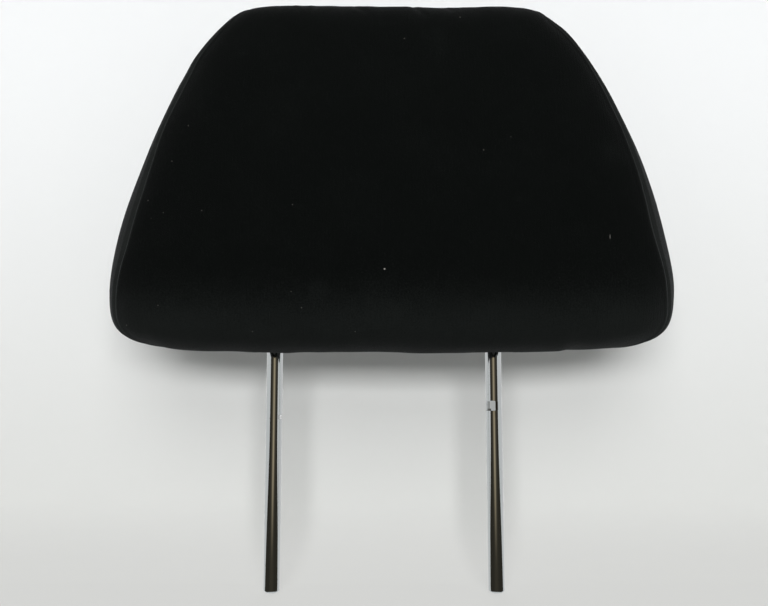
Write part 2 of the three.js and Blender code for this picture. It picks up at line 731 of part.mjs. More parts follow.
function carrierFrontSolid() {
  const inside = carrierInside;
  const shelfTop = -CLIP_SLIT / 2 - CLIP_SHEET - RUNNING_GAP;
  const shelves = bothSides((side) => boxSolid(
    [side * CLIP_X - CLIP_WIDTH / 2, side * CLIP_X + CLIP_WIDTH / 2],
    [inside.front - CARRIER_WALL / 2, -SHELF_REACH],
    [shelfTop - SHELF_DEPTH, shelfTop]));
  const shelfHoles = bothSides((side) => barSolid(
    screwHole,
    [side * CLIP_X, -CLIP_SCREW_FORWARD, shelfTop - SHELF_DEPTH - CUT_OVERRUN],
    [side * CLIP_X, -CLIP_SCREW_FORWARD, shelfTop + CUT_OVERRUN]));
  const stopFace = (COLLAR_DIAMETER / 2) * Math.sin(lean) - (LUG_WIDTH / 2) * Math.cos(lean) - RUNNING_GAP;
  const stopRib = boxSolid(
    [-STOP_RIB_WIDTH / 2, STOP_RIB_WIDTH / 2],
    [stopFace - STOP_RIB_DEPTH, stopFace],
    [inside.top - STOP_RIB_HEIGHT, inside.top + CARRIER_WALL / 2]);
  const screwHoles = bossPlaces
    .map(([x, z]) => barSolid(screwHole, [x, screwSeat - CARRIER_SCREW_LENGTH - CUT_OVERRUN, z], [x, CUT_OVERRUN, z]))
    .reduce((all, hole) => all.add(hole));
  const passage = inPad(atPosts(passageSolid(rodRadius + LEG_CLEARANCE, LEG_CLEARANCE)));
  return carrierShell(-CARRIER_FRONT, inside.front, -RUNNING_GAP / 2)
    .add(shelves)
    .add(stopRib)
    .subtract(shelfHoles)
    .subtract(screwHoles)
    .subtract(passage);
}

function carrierRearSolid() {
  const inside = carrierInside;
  const stopFace = LUG_REACH * Math.sin(fullLean) + (LUG_WIDTH / 2) * Math.cos(fullLean) + RUNNING_GAP;
  const stopRib = boxSolid(
    [-STOP_RIB_WIDTH / 2, STOP_RIB_WIDTH / 2],
    [stopFace, inside.rear + CARRIER_WALL / 2],
    [COLLAR_DIAMETER / 2, inside.top + CARRIER_WALL / 2]);
  const screwHoles = bossPlaces
    .map(([x, z]) => barSolid(screwHole, [x, -CUT_OVERRUN, z], [x, CARRIER_REAR + CUT_OVERRUN, z])
      .add(barSolid(SCREW_HEAD_DIAMETER / 2 + RUNNING_GAP, [x, screwSeat, z], [x, CARRIER_REAR + CUT_OVERRUN, z])))
    .reduce((all, hole) => all.add(hole));
  return carrierShell(CARRIER_REAR, inside.rear, RUNNING_GAP / 2).add(stopRib).subtract(screwHoles);
}

// A split bush around the cross bar, with a flange on each side of its saddle
function bushGeometry() {
  const half = SADDLE_WIDTH / 2 + RUNNING_GAP;
  const outer = sleeveBore + BUSH_WALL;
  const profile = [
    [sleeveBore, -half - BUSH_FLANGE], [outer + BUSH_FLANGE_RIM, -half - BUSH_FLANGE],
    [outer + BUSH_FLANGE_RIM, -half], [outer, -half], [outer, half],
    [outer + BUSH_FLANGE_RIM, half], [outer + BUSH_FLANGE_RIM, half + BUSH_FLANGE],
    [sleeveBore, half + BUSH_FLANGE], [sleeveBore, -half - BUSH_FLANGE],
  ].map(([radius, along]) => new THREE.Vector2(radius, along));
  const sleeve = new THREE.LatheGeometry(profile, ROUND_SIDES);
  sleeve.rotateZ(-Math.PI / 2);
  const slit = boxSolid([-SADDLE_WIDTH, SADDLE_WIDTH], [-BUSH_SLIT / 2, BUSH_SLIT / 2], [-SADDLE_WIDTH, 0]);
  return geometryOf(solidOf(sleeve).subtract(slit));
}

// A spring clip that grips the cross bar, with two tabs that its screw draws together
function clipGeometry() {
  const half = CLIP_WIDTH / 2;
  const outer = sleeveBore + CLIP_SHEET;
  const ring = barSolid(outer, [-half, 0, 0], [half, 0, 0]);
  const tabEdge = CLIP_SLIT / 2 + CLIP_SHEET;
  const tabs = boxSolid([-half, half], [-CLIP_TAB_REACH, 0], [-tabEdge, tabEdge]);
  const bore = barSolid(sleeveBore, [-CLIP_WIDTH, 0, 0], [CLIP_WIDTH, 0, 0]);
  const slit = boxSolid(
    [-CLIP_WIDTH, CLIP_WIDTH],
    [-CLIP_TAB_REACH - CUT_OVERRUN, 0],
    [-CLIP_SLIT / 2, CLIP_SLIT / 2]);
  const hole = barSolid(screwHole, [0, -CLIP_SCREW_FORWARD, -CLIP_WIDTH], [0, -CLIP_SCREW_FORWARD, CLIP_WIDTH]);
  return geometryOf(ring.add(tabs).subtract(bore).subtract(slit).subtract(hole));
}

// A pan head screw with its head's underside at the origin and its shank towards -Y
function screwGeometry(length) {
  const shank = SCREW_DIAMETER / 2;
  const head = SCREW_HEAD_DIAMETER / 2;
  const profile = [
    [0, -length], [SCREW_POINT_RADIUS, -length], [shank, SCREW_POINT_LENGTH - length], [shank, 0],
    [head, 0], [head, SCREW_HEAD_WALL], [SCREW_CROWN_RADIUS, SCREW_HEAD_HEIGHT], [0, SCREW_HEAD_HEIGHT],
  ].map(([radius, along]) => new THREE.Vector2(radius, along));
  const cross = [[CROSS_REACH, CROSS_HALF_WIDTH], [CROSS_HALF_WIDTH, CROSS_REACH]]
    .map(([x, z]) => boxSolid([-x, x], [CROSS_FLOOR, SCREW_HEAD_HEIGHT + CUT_OVERRUN], [-z, z]))
    .reduce((all, bar) => all.add(bar));
  return geometryOf(solidOf(new THREE.LatheGeometry(profile, ROUND_SIDES / 2)).subtract(cross));
}

// Foam core: the pad's inside, with a pocket for the carrier, the posts' passages and a hook groove
function foamSolid() {
  const gap = RUNNING_GAP;
  const pocket = boxSolid(
    [-CARRIER_HALF_WIDTH - gap, CARRIER_HALF_WIDTH + gap],
    [-CARRIER_FRONT - gap, CARRIER_REAR + gap],
    [-CARRIER_BELOW_BAR - gap, CARRIER_ABOVE_BAR + gap]);
  const passages = atPosts(passageSolid(bezelSkirtWidth + gap, LEG_CLEARANCE));
  const rims = atPosts(bezelCut());
  return padSolid(COVER_THICKNESS + COVER_GAP)
    .subtract(pocket)
    .subtract(inPad(passages.add(rims).add(hookGrooveSolid())));
}

// Materials
const chrome = { color: 0xd4d6d8, roughness: 0.08, metalness: 1 };
const spring = { color: 0x9a9ca0, roughness: 0.35, metalness: 1 };
const velour = { color: 0x111113, roughness: 0.95, metalness: 0 };
const foam = { color: 0xd8cfae, roughness: 1, metalness: 0 };
const blackPlastic = { color: 0x1a1a1c, roughness: 0.55, metalness: 0 };
const palePlastic = { color: 0xd9d8d0, roughness: 0.5, metalness: 0 };

function piece(name, geometry, finish, parent, place = [0, 0, 0]) {
  const mesh = new THREE.Mesh(geometry, new THREE.MeshStandardMaterial(finish));
  mesh.name = name;
  mesh.position.set(...place);
  parent.add(mesh);
  return mesh;
}

// The rod, with the collar that is pinned on it
function addPostFrame(parent) {
  piece('post_frame', postFrameGeometry(), chrome, parent);
  piece('stop_collar', stopCollarGeometry(), spring, parent, [0, 0, BAR_HEIGHT]);
  const pinEnd = COLLAR_DIAMETER / 2 - RUNNING_GAP / 2;
  const pin = barGeometry(PIN_DIAMETER / 2, [0, -pinEnd, 0], [0, pinEnd, 0]);
  piece('collar_pin', pin, spring, parent, [0, 0, BAR_HEIGHT]);
}

function addCarrier(parent) {
  piece('carrier_front', geometryOf(carrierFrontSolid()), blackPlastic, parent);
  piece('carrier_rear', geometryOf(carrierRearSolid()), blackPlastic, parent);
  bossPlaces.forEach(([x, z], index) => {
    const place = [x, screwSeat + RUNNING_GAP, z];
    piece(`carrier_screw_${index + 1}`, screwGeometry(CARRIER_SCREW_LENGTH), spring, parent, place);
  });
}

function addBearings(parent) {
  [['left', -1], ['right', 1]].forEach(([name, side]) => {
    piece(`pivot_bush_${name}`, bushGeometry(), palePlastic, parent, [side * BUSH_X, 0, 0]);
    piece(`friction_clip_${name}`, clipGeometry(), spring, parent, [side * CLIP_X, 0, 0]);
    const tabTop = CLIP_SLIT / 2 + CLIP_SHEET + RUNNING_GAP;
    const screw = piece(`clip_screw_${name}`, screwGeometry(CLIP_SCREW_LENGTH), spring, parent,
      [side * CLIP_X, -CLIP_SCREW_FORWARD, tabTop]);
    screw.rotation.x = Math.PI / 2;
  });
}

function addCover(parent) {
  const cuts = inPad(atPosts(bezelCut()));
  piece('foam_core', geometryOf(foamSolid()), foam, parent);
  piece('cover_main_panel', geometryOf(mainPanelSolid().subtract(cuts)), velour, parent);
  piece('cover_side_left', gussetGeometry(true), velour, parent);
  piece('cover_side_right', gussetGeometry(false), velour, parent);
}

function addUnderside(parent) {
  const underside = new THREE.Group();
  underside.applyMatrix4(undersidePlace);
  parent.add(underside);
  piece('post_bezel_left', bezelGeometry(), blackPlastic, underside, [-postX, 0, 0]);
  piece('post_bezel_right', bezelGeometry(), blackPlastic, underside, [postX, 0, 0]);
  const half = HOOK_LENGTH / 2;
  piece('closure_hook_front', alongX(frontHookProfile(), -half, half), blackPlastic, underside);
  piece('closure_hook_rear', alongX(rearHookProfile(), -half, half), blackPlastic, underside);
}

const group = new THREE.Group();
addPostFrame(group);
const pad = new THREE.Group();
pad.position.set(0, 0, BAR_HEIGHT);
pad.rotation.x = lean;
group.add(pad);
addCarrier(pad);
addBearings(pad);
addCover(pad);
addUnderside(pad);

export default group;
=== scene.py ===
"""Dressed model of a car headrest: a velour covered pad that tilts on a bent chromed rod."""

import logging
import math
from collections.abc import Callable, Sequence
from dataclasses import dataclass, field
from enum import Enum
from functools import cached_property, reduce

import bmesh
import bpy
import numpy as np
from mathutils import Matrix, Vector
from mathutils.kdtree import KDTree


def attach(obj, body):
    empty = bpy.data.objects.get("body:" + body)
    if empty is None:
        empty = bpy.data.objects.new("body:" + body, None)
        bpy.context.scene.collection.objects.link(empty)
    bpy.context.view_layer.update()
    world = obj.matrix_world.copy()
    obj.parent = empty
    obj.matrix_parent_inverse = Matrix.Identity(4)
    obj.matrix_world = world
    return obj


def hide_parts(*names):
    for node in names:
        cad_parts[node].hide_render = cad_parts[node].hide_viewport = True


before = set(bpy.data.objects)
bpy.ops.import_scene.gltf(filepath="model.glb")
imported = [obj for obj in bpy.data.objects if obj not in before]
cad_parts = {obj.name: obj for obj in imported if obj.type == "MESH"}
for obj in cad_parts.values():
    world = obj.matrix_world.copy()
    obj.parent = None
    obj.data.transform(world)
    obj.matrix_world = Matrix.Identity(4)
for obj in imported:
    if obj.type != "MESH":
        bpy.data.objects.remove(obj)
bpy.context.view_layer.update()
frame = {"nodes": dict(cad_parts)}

MM = 0.001
HAIR = 1e-6
Colour = tuple[float, float, float]
LOG = logging.getLogger("headrest")


class Body(Enum):
    """The two bodies that pieces ride on."""

    ROD = "frame"
    PAD = "pad"


class Slot(Enum):
    """The record's material slots, one named for each new piece."""

    CHROMED_STEEL = "chromed_steel"
    VELOUR = "black_velour"
    FOAM = "moulded_foam"
    BLACK_PLASTIC = "black_plastic"


class Face(Enum):
    """A face of the pad, valued by the way it looks along Y."""

    FRONT = -1
    BACK = 1


class Side(Enum):
    """A side of the headrest, valued by its sign along X."""

    LEFT = -1
    RIGHT = 1


# Bench work shared by the pieces


def deselect_all() -> None:
    """Leave no object selected or active, in object mode."""
    if bpy.context.object and bpy.context.object.mode != "OBJECT":
        bpy.ops.object.mode_set(mode="OBJECT")
    bpy.ops.object.select_all(action="DESELECT")


def make_active(piece: bpy.types.Object) -> None:
    """Select one object alone and make it the active one."""
    deselect_all()
    piece.select_set(True)
    bpy.context.view_layer.objects.active = piece


def set_all(target: object, settings: dict[str, object]) -> None:
    """Set several properties of an object, node or modifier by name."""
    for name, value in settings.items():
        setattr(target, name, value)


def mesh_object(
    name: str,
    points: np.ndarray,
    faces: Sequence[Sequence[int]],
    charts: dict[str, np.ndarray] | None = None,
) -> bpy.types.Object:
    """Make a smooth shaded object from points in millimetres.

    Args:
        name: the object's name.
        points: one row of x, y and z for each vertex.
        faces: the vertex numbers of each face.
        charts: UV maps by name, each with a place for every vertex.

    Returns:
        The new object, linked to the scene and seated at the origin.
    """
    mesh = bpy.data.meshes.new(name)
    mesh.from_pydata((points * MM).tolist(), [], [list(map(int, face)) for face in faces])
    corners = np.empty(len(mesh.loops), dtype=np.int64)
    mesh.loops.foreach_get("vertex_index", corners)
    for label, chart in (charts or {}).items():
        layer = mesh.uv_layers.new(name=label)
        layer.uv.foreach_set("vector", chart[corners].astype(np.float32).ravel())
    mesh.validate()
    mesh.shade_smooth()
    piece = bpy.data.objects.new(name, mesh)
    bpy.context.scene.collection.objects.link(piece)
    return piece


def finish_modifier(piece: bpy.types.Object, kind: str, **settings: object) -> None:
    """Add a modifier with its settings and apply it.

    Args:
        piece: the object that takes the modifier.
        kind: the modifier's type.
        settings: the modifier's properties.
    """
    make_active(piece)
    modifier = piece.modifiers.new(kind.title(), kind)
    set_all(modifier, settings)
    bpy.ops.object.modifier_apply(modifier=modifier.name)


def cut_away(piece: bpy.types.Object, cutter: bpy.types.Object) -> None:
    """Subtract one closed object from another and remove the cutter."""
    finish_modifier(piece, "BOOLEAN", operation="DIFFERENCE", object=cutter, solver="EXACT")
    bpy.data.objects.remove(cutter)


def tidy_mesh(
    piece: bpy.types.Object, reach: float = 0.002, thin: float = 0.0005, outwards: bool = True
) -> None:
    """Merge doubled vertices and drop slivers.

    Args:
        piece: the object whose mesh is cleaned.
        reach: how close doubled vertices lie, in millimetres.
        thin: how short a sliver's edge is, in millimetres.
        outwards: whether all faces are turned outwards too.
    """
    work = bmesh.new()
    work.from_mesh(piece.data)
    bmesh.ops.remove_doubles(work, verts=work.verts, dist=reach * MM)
    bmesh.ops.dissolve_degenerate(work, edges=work.edges, dist=thin * MM)
    if outwards:
        bmesh.ops.recalc_face_normals(work, faces=work.faces)
    work.to_mesh(piece.data)
    work.free()


def seat_at_origin(piece: bpy.types.Object, place: Matrix | None = None) -> None:
    """Put the object's place, and a further one where given, into its mesh."""
    bpy.context.view_layer.update()
    piece.data.transform((place or Matrix.Identity(4)) @ piece.matrix_world)
    piece.matrix_world = Matrix.Identity(4)


def soften(piece: bpy.types.Object, degrees: float) -> None:
    """Shade smooth across edges flatter than an angle."""
    make_active(piece)
    bpy.ops.object.shade_smooth_by_angle(angle=math.radians(degrees))


def give_finish(piece: bpy.types.Object, material: bpy.types.Material) -> None:
    """Make a material the only one on an object."""
    piece.data.materials.clear()
    piece.data.materials.append(material)


def enlist(piece: bpy.types.Object, body: Body, slot: Slot, *replaced: str) -> None:
    """Hand a finished piece to the frame and report it.

    Args:
        piece: the finished object.
        body: the body that carries it.
        slot: the record's material slot named for the piece; not used.
        replaced: the names of the CAD nodes that it stands for.
    """
    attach(piece, body.value)
    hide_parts(*replaced)
    LOG.info("%s rides on %s with %d faces", piece.name, body.value, len(piece.data.polygons))


def extrude_by(step: Sequence[float]) -> None:
    """Extrude what is selected in edit mode by a step in millimetres."""
    move = tuple(float(v) * MM for v in step)
    bpy.ops.mesh.extrude_region_move(TRANSFORM_OT_translate={"value": move})


def seen_from(points: np.ndarray, place: Matrix) -> np.ndarray:
    """Points of the part's frame in another frame, both in millimetres."""
    inverse = np.array(place.inverted())
    return points @ inverse[:3, :3].T + inverse[:3, 3] / MM


def grid_faces(rows: int, columns: int) -> np.ndarray:
    """The four sided faces of a grid whose points are counted row by row."""
    number = np.arange(rows * columns).reshape(rows, columns)
    corners = (number[:-1, :-1], number[:-1, 1:], number[1:, 1:], number[1:, :-1])
    return np.stack([corner.ravel() for corner in corners], axis=1)


def tree_of(places: np.ndarray) -> KDTree:
    """A search tree over places."""
    tree = KDTree(len(places))
    for number, place in enumerate(places):
        tree.insert(place, number)
    tree.balance()
    return tree


def smooth_step(value: np.ndarray) -> np.ndarray:
    """Ease from 0 to 1 over the unit range."""
    s = np.clip(value, 0.0, 1.0)
    return s * s * (3 - 2 * s)


def ease(value: np.ndarray, start: float, width: float) -> np.ndarray:
    """Ease from 0 at a start to 1 over a width."""
    return smooth_step((value - start) / width)


def bell(distance: np.ndarray, width: float) -> np.ndarray:
    """A bump of height 1 that fades over a width on both sides."""
    return np.exp(-((distance / width) ** 2))


def sample_table(table: np.ndarray, rows: np.ndarray, columns: np.ndarray) -> np.ndarray:
    """Read a table between its entries.

    Args:
        table: the values, as rows and columns.
        rows: fractional row numbers.
        columns: fractional column numbers.

    Returns:
        One value for each pair of numbers.
    """
    r, c = (np.clip(n, 0, size - 1.000001) for n, size in zip((rows, columns), table.shape))
    i, j = r.astype(int), c.astype(int)
    f, g = r - i, c - j
    low = table[i, j] * (1 - g) + table[i, j + 1] * g
    high = table[i + 1, j] * (1 - g) + table[i + 1, j + 1] * g
    return low * (1 - f) + high * f


def graded_steps(length: float, ends: tuple[float, float], coarse: float, reach: float) -> np.ndarray:
    """Shares of a length from 0 to 1 whose steps are finer towards both ends.

    Args:
        length: the length in millimetres.
        ends: the step size at the start and at the end.
        coarse: the step size far from both ends.
        reach: how quickly the steps grow, in millimetres.

    Returns:
        The shares, the first 0 and the last 1.
    """
    samples, fewest = 4001, 4
    fine = np.linspace(0, length, samples)
    at_start = coarse + (ends[0] - coarse) * np.exp(-fine / reach)
    at_end = coarse + (ends[1] - coarse) * np.exp(-(length - fine) / reach)
    size = np.minimum(at_start, at_end)
    count = np.concatenate([[0], np.cumsum(np.diff(fine) / size[1:])])
    steps = max(fewest, round(count[-1]))
    return np.interp(np.linspace(0, count[-1], steps + 1), count, fine) / length


def rolling_relief(points: np.ndarray, wavelength: float, seed: int) -> np.ndarray:
    """A smooth uneven height between about -1 and 1, the same on every run.

    Args:
        points: places in millimetres.
        wavelength: the distance between neighbouring rises.
        seed: picks one pattern.

    Returns:
        One height for each place.
    """
    waves = 14
    draw = np.random.default_rng(seed)
    ways = draw.normal(size=(waves, 3))
    ways /= np.linalg.norm(ways, axis=1, keepdims=True)
    pitch = 2 * np.pi / (wavelength * draw.uniform(0.7, 1.5, waves))
    starts = draw.uniform(0, 2 * np.pi, waves)
    heights = np.sin((points @ ways.T) * pitch + starts)
    return heights.sum(axis=-1) / math.sqrt(waves)


def halves(loop: np.ndarray) -> tuple[np.ndarray, np.ndarray]:
    """The share of the half outline and the mirror sign at places on the whole loop, 0 to 2."""
    return np.where(loop <= 1, loop, 2 - loop), np.where(loop <= 1, 1.0, -1.0)


# The pad's form


@dataclass(frozen=True)
class Swell:
    """A stretch of an edge where the padding stands out, or falls back where its height is negative."""

    at: float
    width: float
    height: float


def swells(stretches: Sequence[Swell], along: np.ndarray) -> np.ndarray:
    """The height of some swells at places along their edge."""
    return sum(stretch.height * bell(along - stretch.at, stretch.width) for stretch in stretches)


@dataclass(frozen=True)
class PadForm:
    """The pad's outer surface in its own frame, in millimetres, with the cross bar at its origin."""

    half_width: float = 169.6
    below_bar: float = 99.3
    above_bar: float = 104.6
    widest_below_bar: float = 64.2
    side_bend_below_bar: float = 32.3
    shoulder_x: float = 99.4
    shoulder_z: float = 94.6
    shoulder_bend_x: float = 132.3
    shoulder_bend_z: float = 68.4
    corner_bend_x: float = 162.8
    side_offset: float = 4.5
    middle_forward: tuple[float, float] = (27.3, 35.3)
    front_depth: tuple[float, float] = (50.0, 32.0)
    back_depth: tuple[float, float] = (58.0, 50.0)
    edge_power: float = 6.8
    taper_power: float = 1.8
    crown_below_bar: float = 9.5
    underside_slope: float = 0.15
    seam_degrees: tuple[float, float, float] = (38.0, 42.0, 28.8)
    seam_heights: tuple[float, float, float] = (-84.5, -34.5, 90.5)
    seam_end_lengths: tuple[float, float] = (90.0, 26.0)
    gusset_underside_x: float = 132.0
    gusset_top_x: float = 85.0
    bar_height: float = 250.0
    lean_degrees: float = 6.2
    edge_degrees: float = 62.0
    outline_samples: int = 901
    top_fullness: float = 0.45
    low_fullness: float = 1.1
    top_swells: tuple[Swell, ...] = (
        Swell(-57, 26, 1.75), Swell(27, 13, 0.3), Swell(78, 14, 0.6), Swell(99, 7, -0.7)
    )
    right_swells: tuple[Swell, ...] = (Swell(60, 26, 0.6), Swell(8, 30, 1.3))
    left_swells: tuple[Swell, ...] = (Swell(46, 20, -0.6), Swell(5, 20, -0.4))
    shoulder_swells: tuple[Swell, ...] = (Swell(-111, 8, 0.6),)
    low_swells: tuple[Swell, ...] = (
        Swell(-73, 8, 0.5), Swell(-47, 8, -0.7), Swell(46, 9, 0.3), Swell(114, 8, -0.5)
    )

    @cached_property
    def place(self) -> Matrix:
        """The pad's frame in the part's frame, in metres."""
        lift = Matrix.Translation((0, 0, self.bar_height * MM))
        return lift @ Matrix.Rotation(math.radians(self.lean_degrees), 4, "X")

    @cached_property
    def outline(self) -> np.ndarray:
        """Share of the length, x, z and outward normal along the right half, from underside to top."""
        low, high = -self.below_bar, self.above_bar
        widest = (self.half_width, -self.widest_below_bar)
        shoulder = (self.shoulder_x, self.shoulder_z)
        rise = (high - self.shoulder_z) / (self.shoulder_z - self.shoulder_bend_z)
        shoulder_out = (self.shoulder_x - rise * (self.shoulder_bend_x - self.shoulder_x), high)
        spans = (
            ((0, low), (self.corner_bend_x, low), (self.half_width, low), widest),
            (
                widest,
                (self.half_width, -self.side_bend_below_bar),
                (self.shoulder_bend_x, self.shoulder_bend_z),
                shoulder,
            ),
            (shoulder, shoulder_out, shoulder_out, (0, high)),
        )
        t = np.linspace(0, 1, self.outline_samples)[:, None]
        weights = ((1 - t) ** 3, 3 * t * (1 - t) ** 2, 3 * t * t * (1 - t), t**3)
        side, upper, over = [sum(w * np.array(p) for w, p in zip(weights, span)) for span in spans]
        line = np.concatenate([side, upper[1:], over[1:]])
        lengths = np.concatenate([[0], np.cumsum(np.linalg.norm(np.diff(line, axis=0), axis=1))])
        tangent = np.gradient(line, lengths, axis=0)
        tangent /= np.linalg.norm(tangent, axis=1, keepdims=True)
        return np.column_stack([lengths / lengths[-1], line, tangent[:, 1], -tangent[:, 0], lengths])

    def station(self, share: np.ndarray) -> tuple[np.ndarray, ...]:
        """The outline's x, z and outward normal at shares of its length."""
        table = self.outline
        return tuple(np.interp(share, table[:, 0], table[:, k]) for k in (1, 2, 3, 4))

    @cached_property
    def half_length(self) -> float:
        """The length of the outline's right half."""
        return float(self.outline[-1, 5])

    @cached_property
    def gusset_ends(self) -> tuple[float, float]:
        """The shares at which a gusset starts under the pad and ends on its top."""
        table = self.outline
        widest = int(table[:, 1].argmax())
        start = np.interp(self.gusset_underside_x, table[:widest, 1], table[:widest, 0])
        end = np.interp(-self.gusset_top_x, -table[widest:, 1], table[widest:, 0])
        return float(start), float(end)

    def seam_angle(self, share: np.ndarray) -> np.ndarray:
        """How far round the edge a gusset's seam lies at shares of the outline, in radians."""
        _, z, _, _ = self.station(share)
        bottom, middle, top = self.seam_heights
        at_bottom, at_middle, at_top = self.seam_degrees
        upper = smooth_step((z - middle) / (top - middle))
        lower = smooth_step((middle - z) / (middle - bottom))
        degrees = at_middle + (at_top - at_middle) * upper + (at_bottom - at_middle) * lower
        start, end = self.gusset_ends
        low, high = (length / self.half_length for length in self.seam_end_lengths)
        before = 1 - np.clip((share - start) / low, 0, 1)
        after = 1 - np.clip((end - share) / high, 0, 1)
        return np.radians(degrees) * np.sqrt(1 - before**2) * np.sqrt(1 - after**2)

    def fullness(self, places: np.ndarray) -> np.ndarray:
        """How much the padding fills out the cover along its top, both sides and the front's lower edge.

        Args:
            places: points of the part's frame in millimetres.

        Returns:
            A height out of the pad for each place.
        """
        local = seen_from(places, self.place)
        x, y, z = local[..., 0], local[..., 1], local[..., 2]
        top = (self.top_fullness + swells(self.top_swells, x)) * ease(z, 76, 22)
        right = swells(self.right_swells, z) * ease(x, 92, 20)
        left = swells(self.left_swells, z) * ease(-x, 100, 12)
        shoulder = swells(self.shoulder_swells, x) * ease(z, 62, 10)
        low = self.low_fullness * ease(x, -138, 14) * (1 - ease(x, 101, 9)) + swells(self.low_swells, x)
        under = ease(-z, 72, 16) * ease(-y, self.middle_forward[0] + 14, 14)
        return top + right + left + shoulder + low * under

    def surface(
        self,
        share: np.ndarray,
        mirror: np.ndarray,
        side: np.ndarray,
        reach: np.ndarray,
        depth: np.ndarray,
        inset: float = 0.0,
    ) -> np.ndarray:
        """Points of the pad's surface in its own frame.

        Args:
            share: where on the half outline.
            mirror: 1 on the right and -1 on the left.
            side: -1 on the front and 1 on the back.
            reach: how far out from the crown towards the outline, 0 to 1.
            depth: how deep into the crown, 1 at its middle.
            inset: how far inside the outer surface.

        Returns:
            One row of x, y and z for each place.
        """
        x, z, nx, nz = self.station(share)
        x, z = x - nx * inset, z - nz * inset
        height = -self.crown_below_bar + (z + self.crown_below_bar) * reach
        up = np.clip((height + self.below_bar) / (self.below_bar + self.above_bar), 0, 1)
        middle = -(self.middle_forward[0] + (self.middle_forward[1] - self.middle_forward[0]) * up)
        taper = up**self.taper_power
        front = self.front_depth[0] + (self.front_depth[1] - self.front_depth[0]) * taper
        back = self.back_depth[0] + (self.back_depth[1] - self.back_depth[0]) * taper
        crown = np.where(side < 0, front, back) - inset
        y = middle + side * crown * depth
        droop = self.underside_slope * (y - middle) * (1 - up) ** 2
        return np.stack([mirror * x * reach + self.side_offset, y, height + droop], axis=-1)

    def ring(self, angle: np.ndarray) -> tuple[np.ndarray, np.ndarray]:
        """The reach and depth of the ring at an angle round the edge."""
        return np.cos(angle) ** (2 / self.edge_power), np.sin(angle)

    def edge_angle(self, length: float) -> float:
        """The angle round the edge that a short length beside a seam covers."""
        return length / self.front_depth[0]

    def profile(self, crown_rings: int, edge_rings: int) -> tuple[np.ndarray, np.ndarray]:
        """The reach and depth of all rings from a face's middle to the edge.

        Args:
            crown_rings: steps over the crown.
            edge_rings: steps round the edge.

        Returns:
            Both as lines of one more than all the steps.
        """
        reach_edge, depth_edge = self.ring(np.radians(np.linspace(self.edge_degrees, 0, edge_rings + 1)))
        reach_crown = np.linspace(0, reach_edge[0], crown_rings + 1)[:-1]
        depth_crown = np.sqrt(1 - reach_crown**self.edge_power)
        return np.concatenate([reach_crown, reach_edge]), np.concatenate([depth_crown, depth_edge])

    def to_part(self, points: np.ndarray) -> np.ndarray:
        """Points of the pad's frame in the part's frame, both in millimetres."""
        a = math.radians(self.lean_degrees)
        x, y, z = points[..., 0], points[..., 1], points[..., 2]
        turned_y = y * math.cos(a) - z * math.sin(a)
        turned_z = y * math.sin(a) + z * math.cos(a) + self.bar_height
        return np.stack([x, turned_y, turned_z], axis=-1)

    def seam_line(self, mirror: int, side: int, count: int = 160) -> np.ndarray:
        """Points along one gusset seam, in the part's frame."""
        start, end = self.gusset_ends
        share = np.linspace(start, end, count)
        reach, depth = self.ring(self.seam_angle(share))
        return self.to_part(self.surface(share, mirror, np.float64(side), reach, depth))

    def shell(self, inset: float, stations: int, rings: int) -> tuple[np.ndarray, list[list[int]]]:
        """The whole pad as one closed surface.

        Args:
            inset: how far inside the outer surface.
            stations: steps round the outline.
            rings: steps from a face's middle to the edge.

        Returns:
            The points in the part's frame and the faces.
        """
        loop = np.arange(stations) / stations * 2
        share, mirror = halves(loop)
        reach, depth = (line[1:] for line in self.profile(rings - rings // 2, rings // 2))
        bands = [(-1.0, r, d) for r, d in zip(reach, depth)]
        bands += [(1.0, r, d) for r, d in zip(reach[-2::-1], depth[-2::-1])]
        full = np.ones(stations)
        rows = [self.surface(share, mirror, side * full, r * full, d * full, inset) for side, r, d in bands]
        poles = [
            self.surface(np.zeros(1), np.ones(1), np.float64(side), np.zeros(1), np.ones(1), inset)
            for side in (-1, 1)
        ]
        points = self.to_part(np.concatenate([*rows, *poles]))
        faces = []
        last = len(bands) - 1
        front, back = len(bands) * stations, len(bands) * stations + 1
        for i in range(stations):
            n = (i + 1) % stations
            faces.append([front, n, i])
            faces.append([back, last * stations + i, last * stations + n])
            for j in range(last):
                a, b = j * stations, (j + 1) * stations
                faces.append([a + i, a + n, b + n, b + i])
        return points, faces


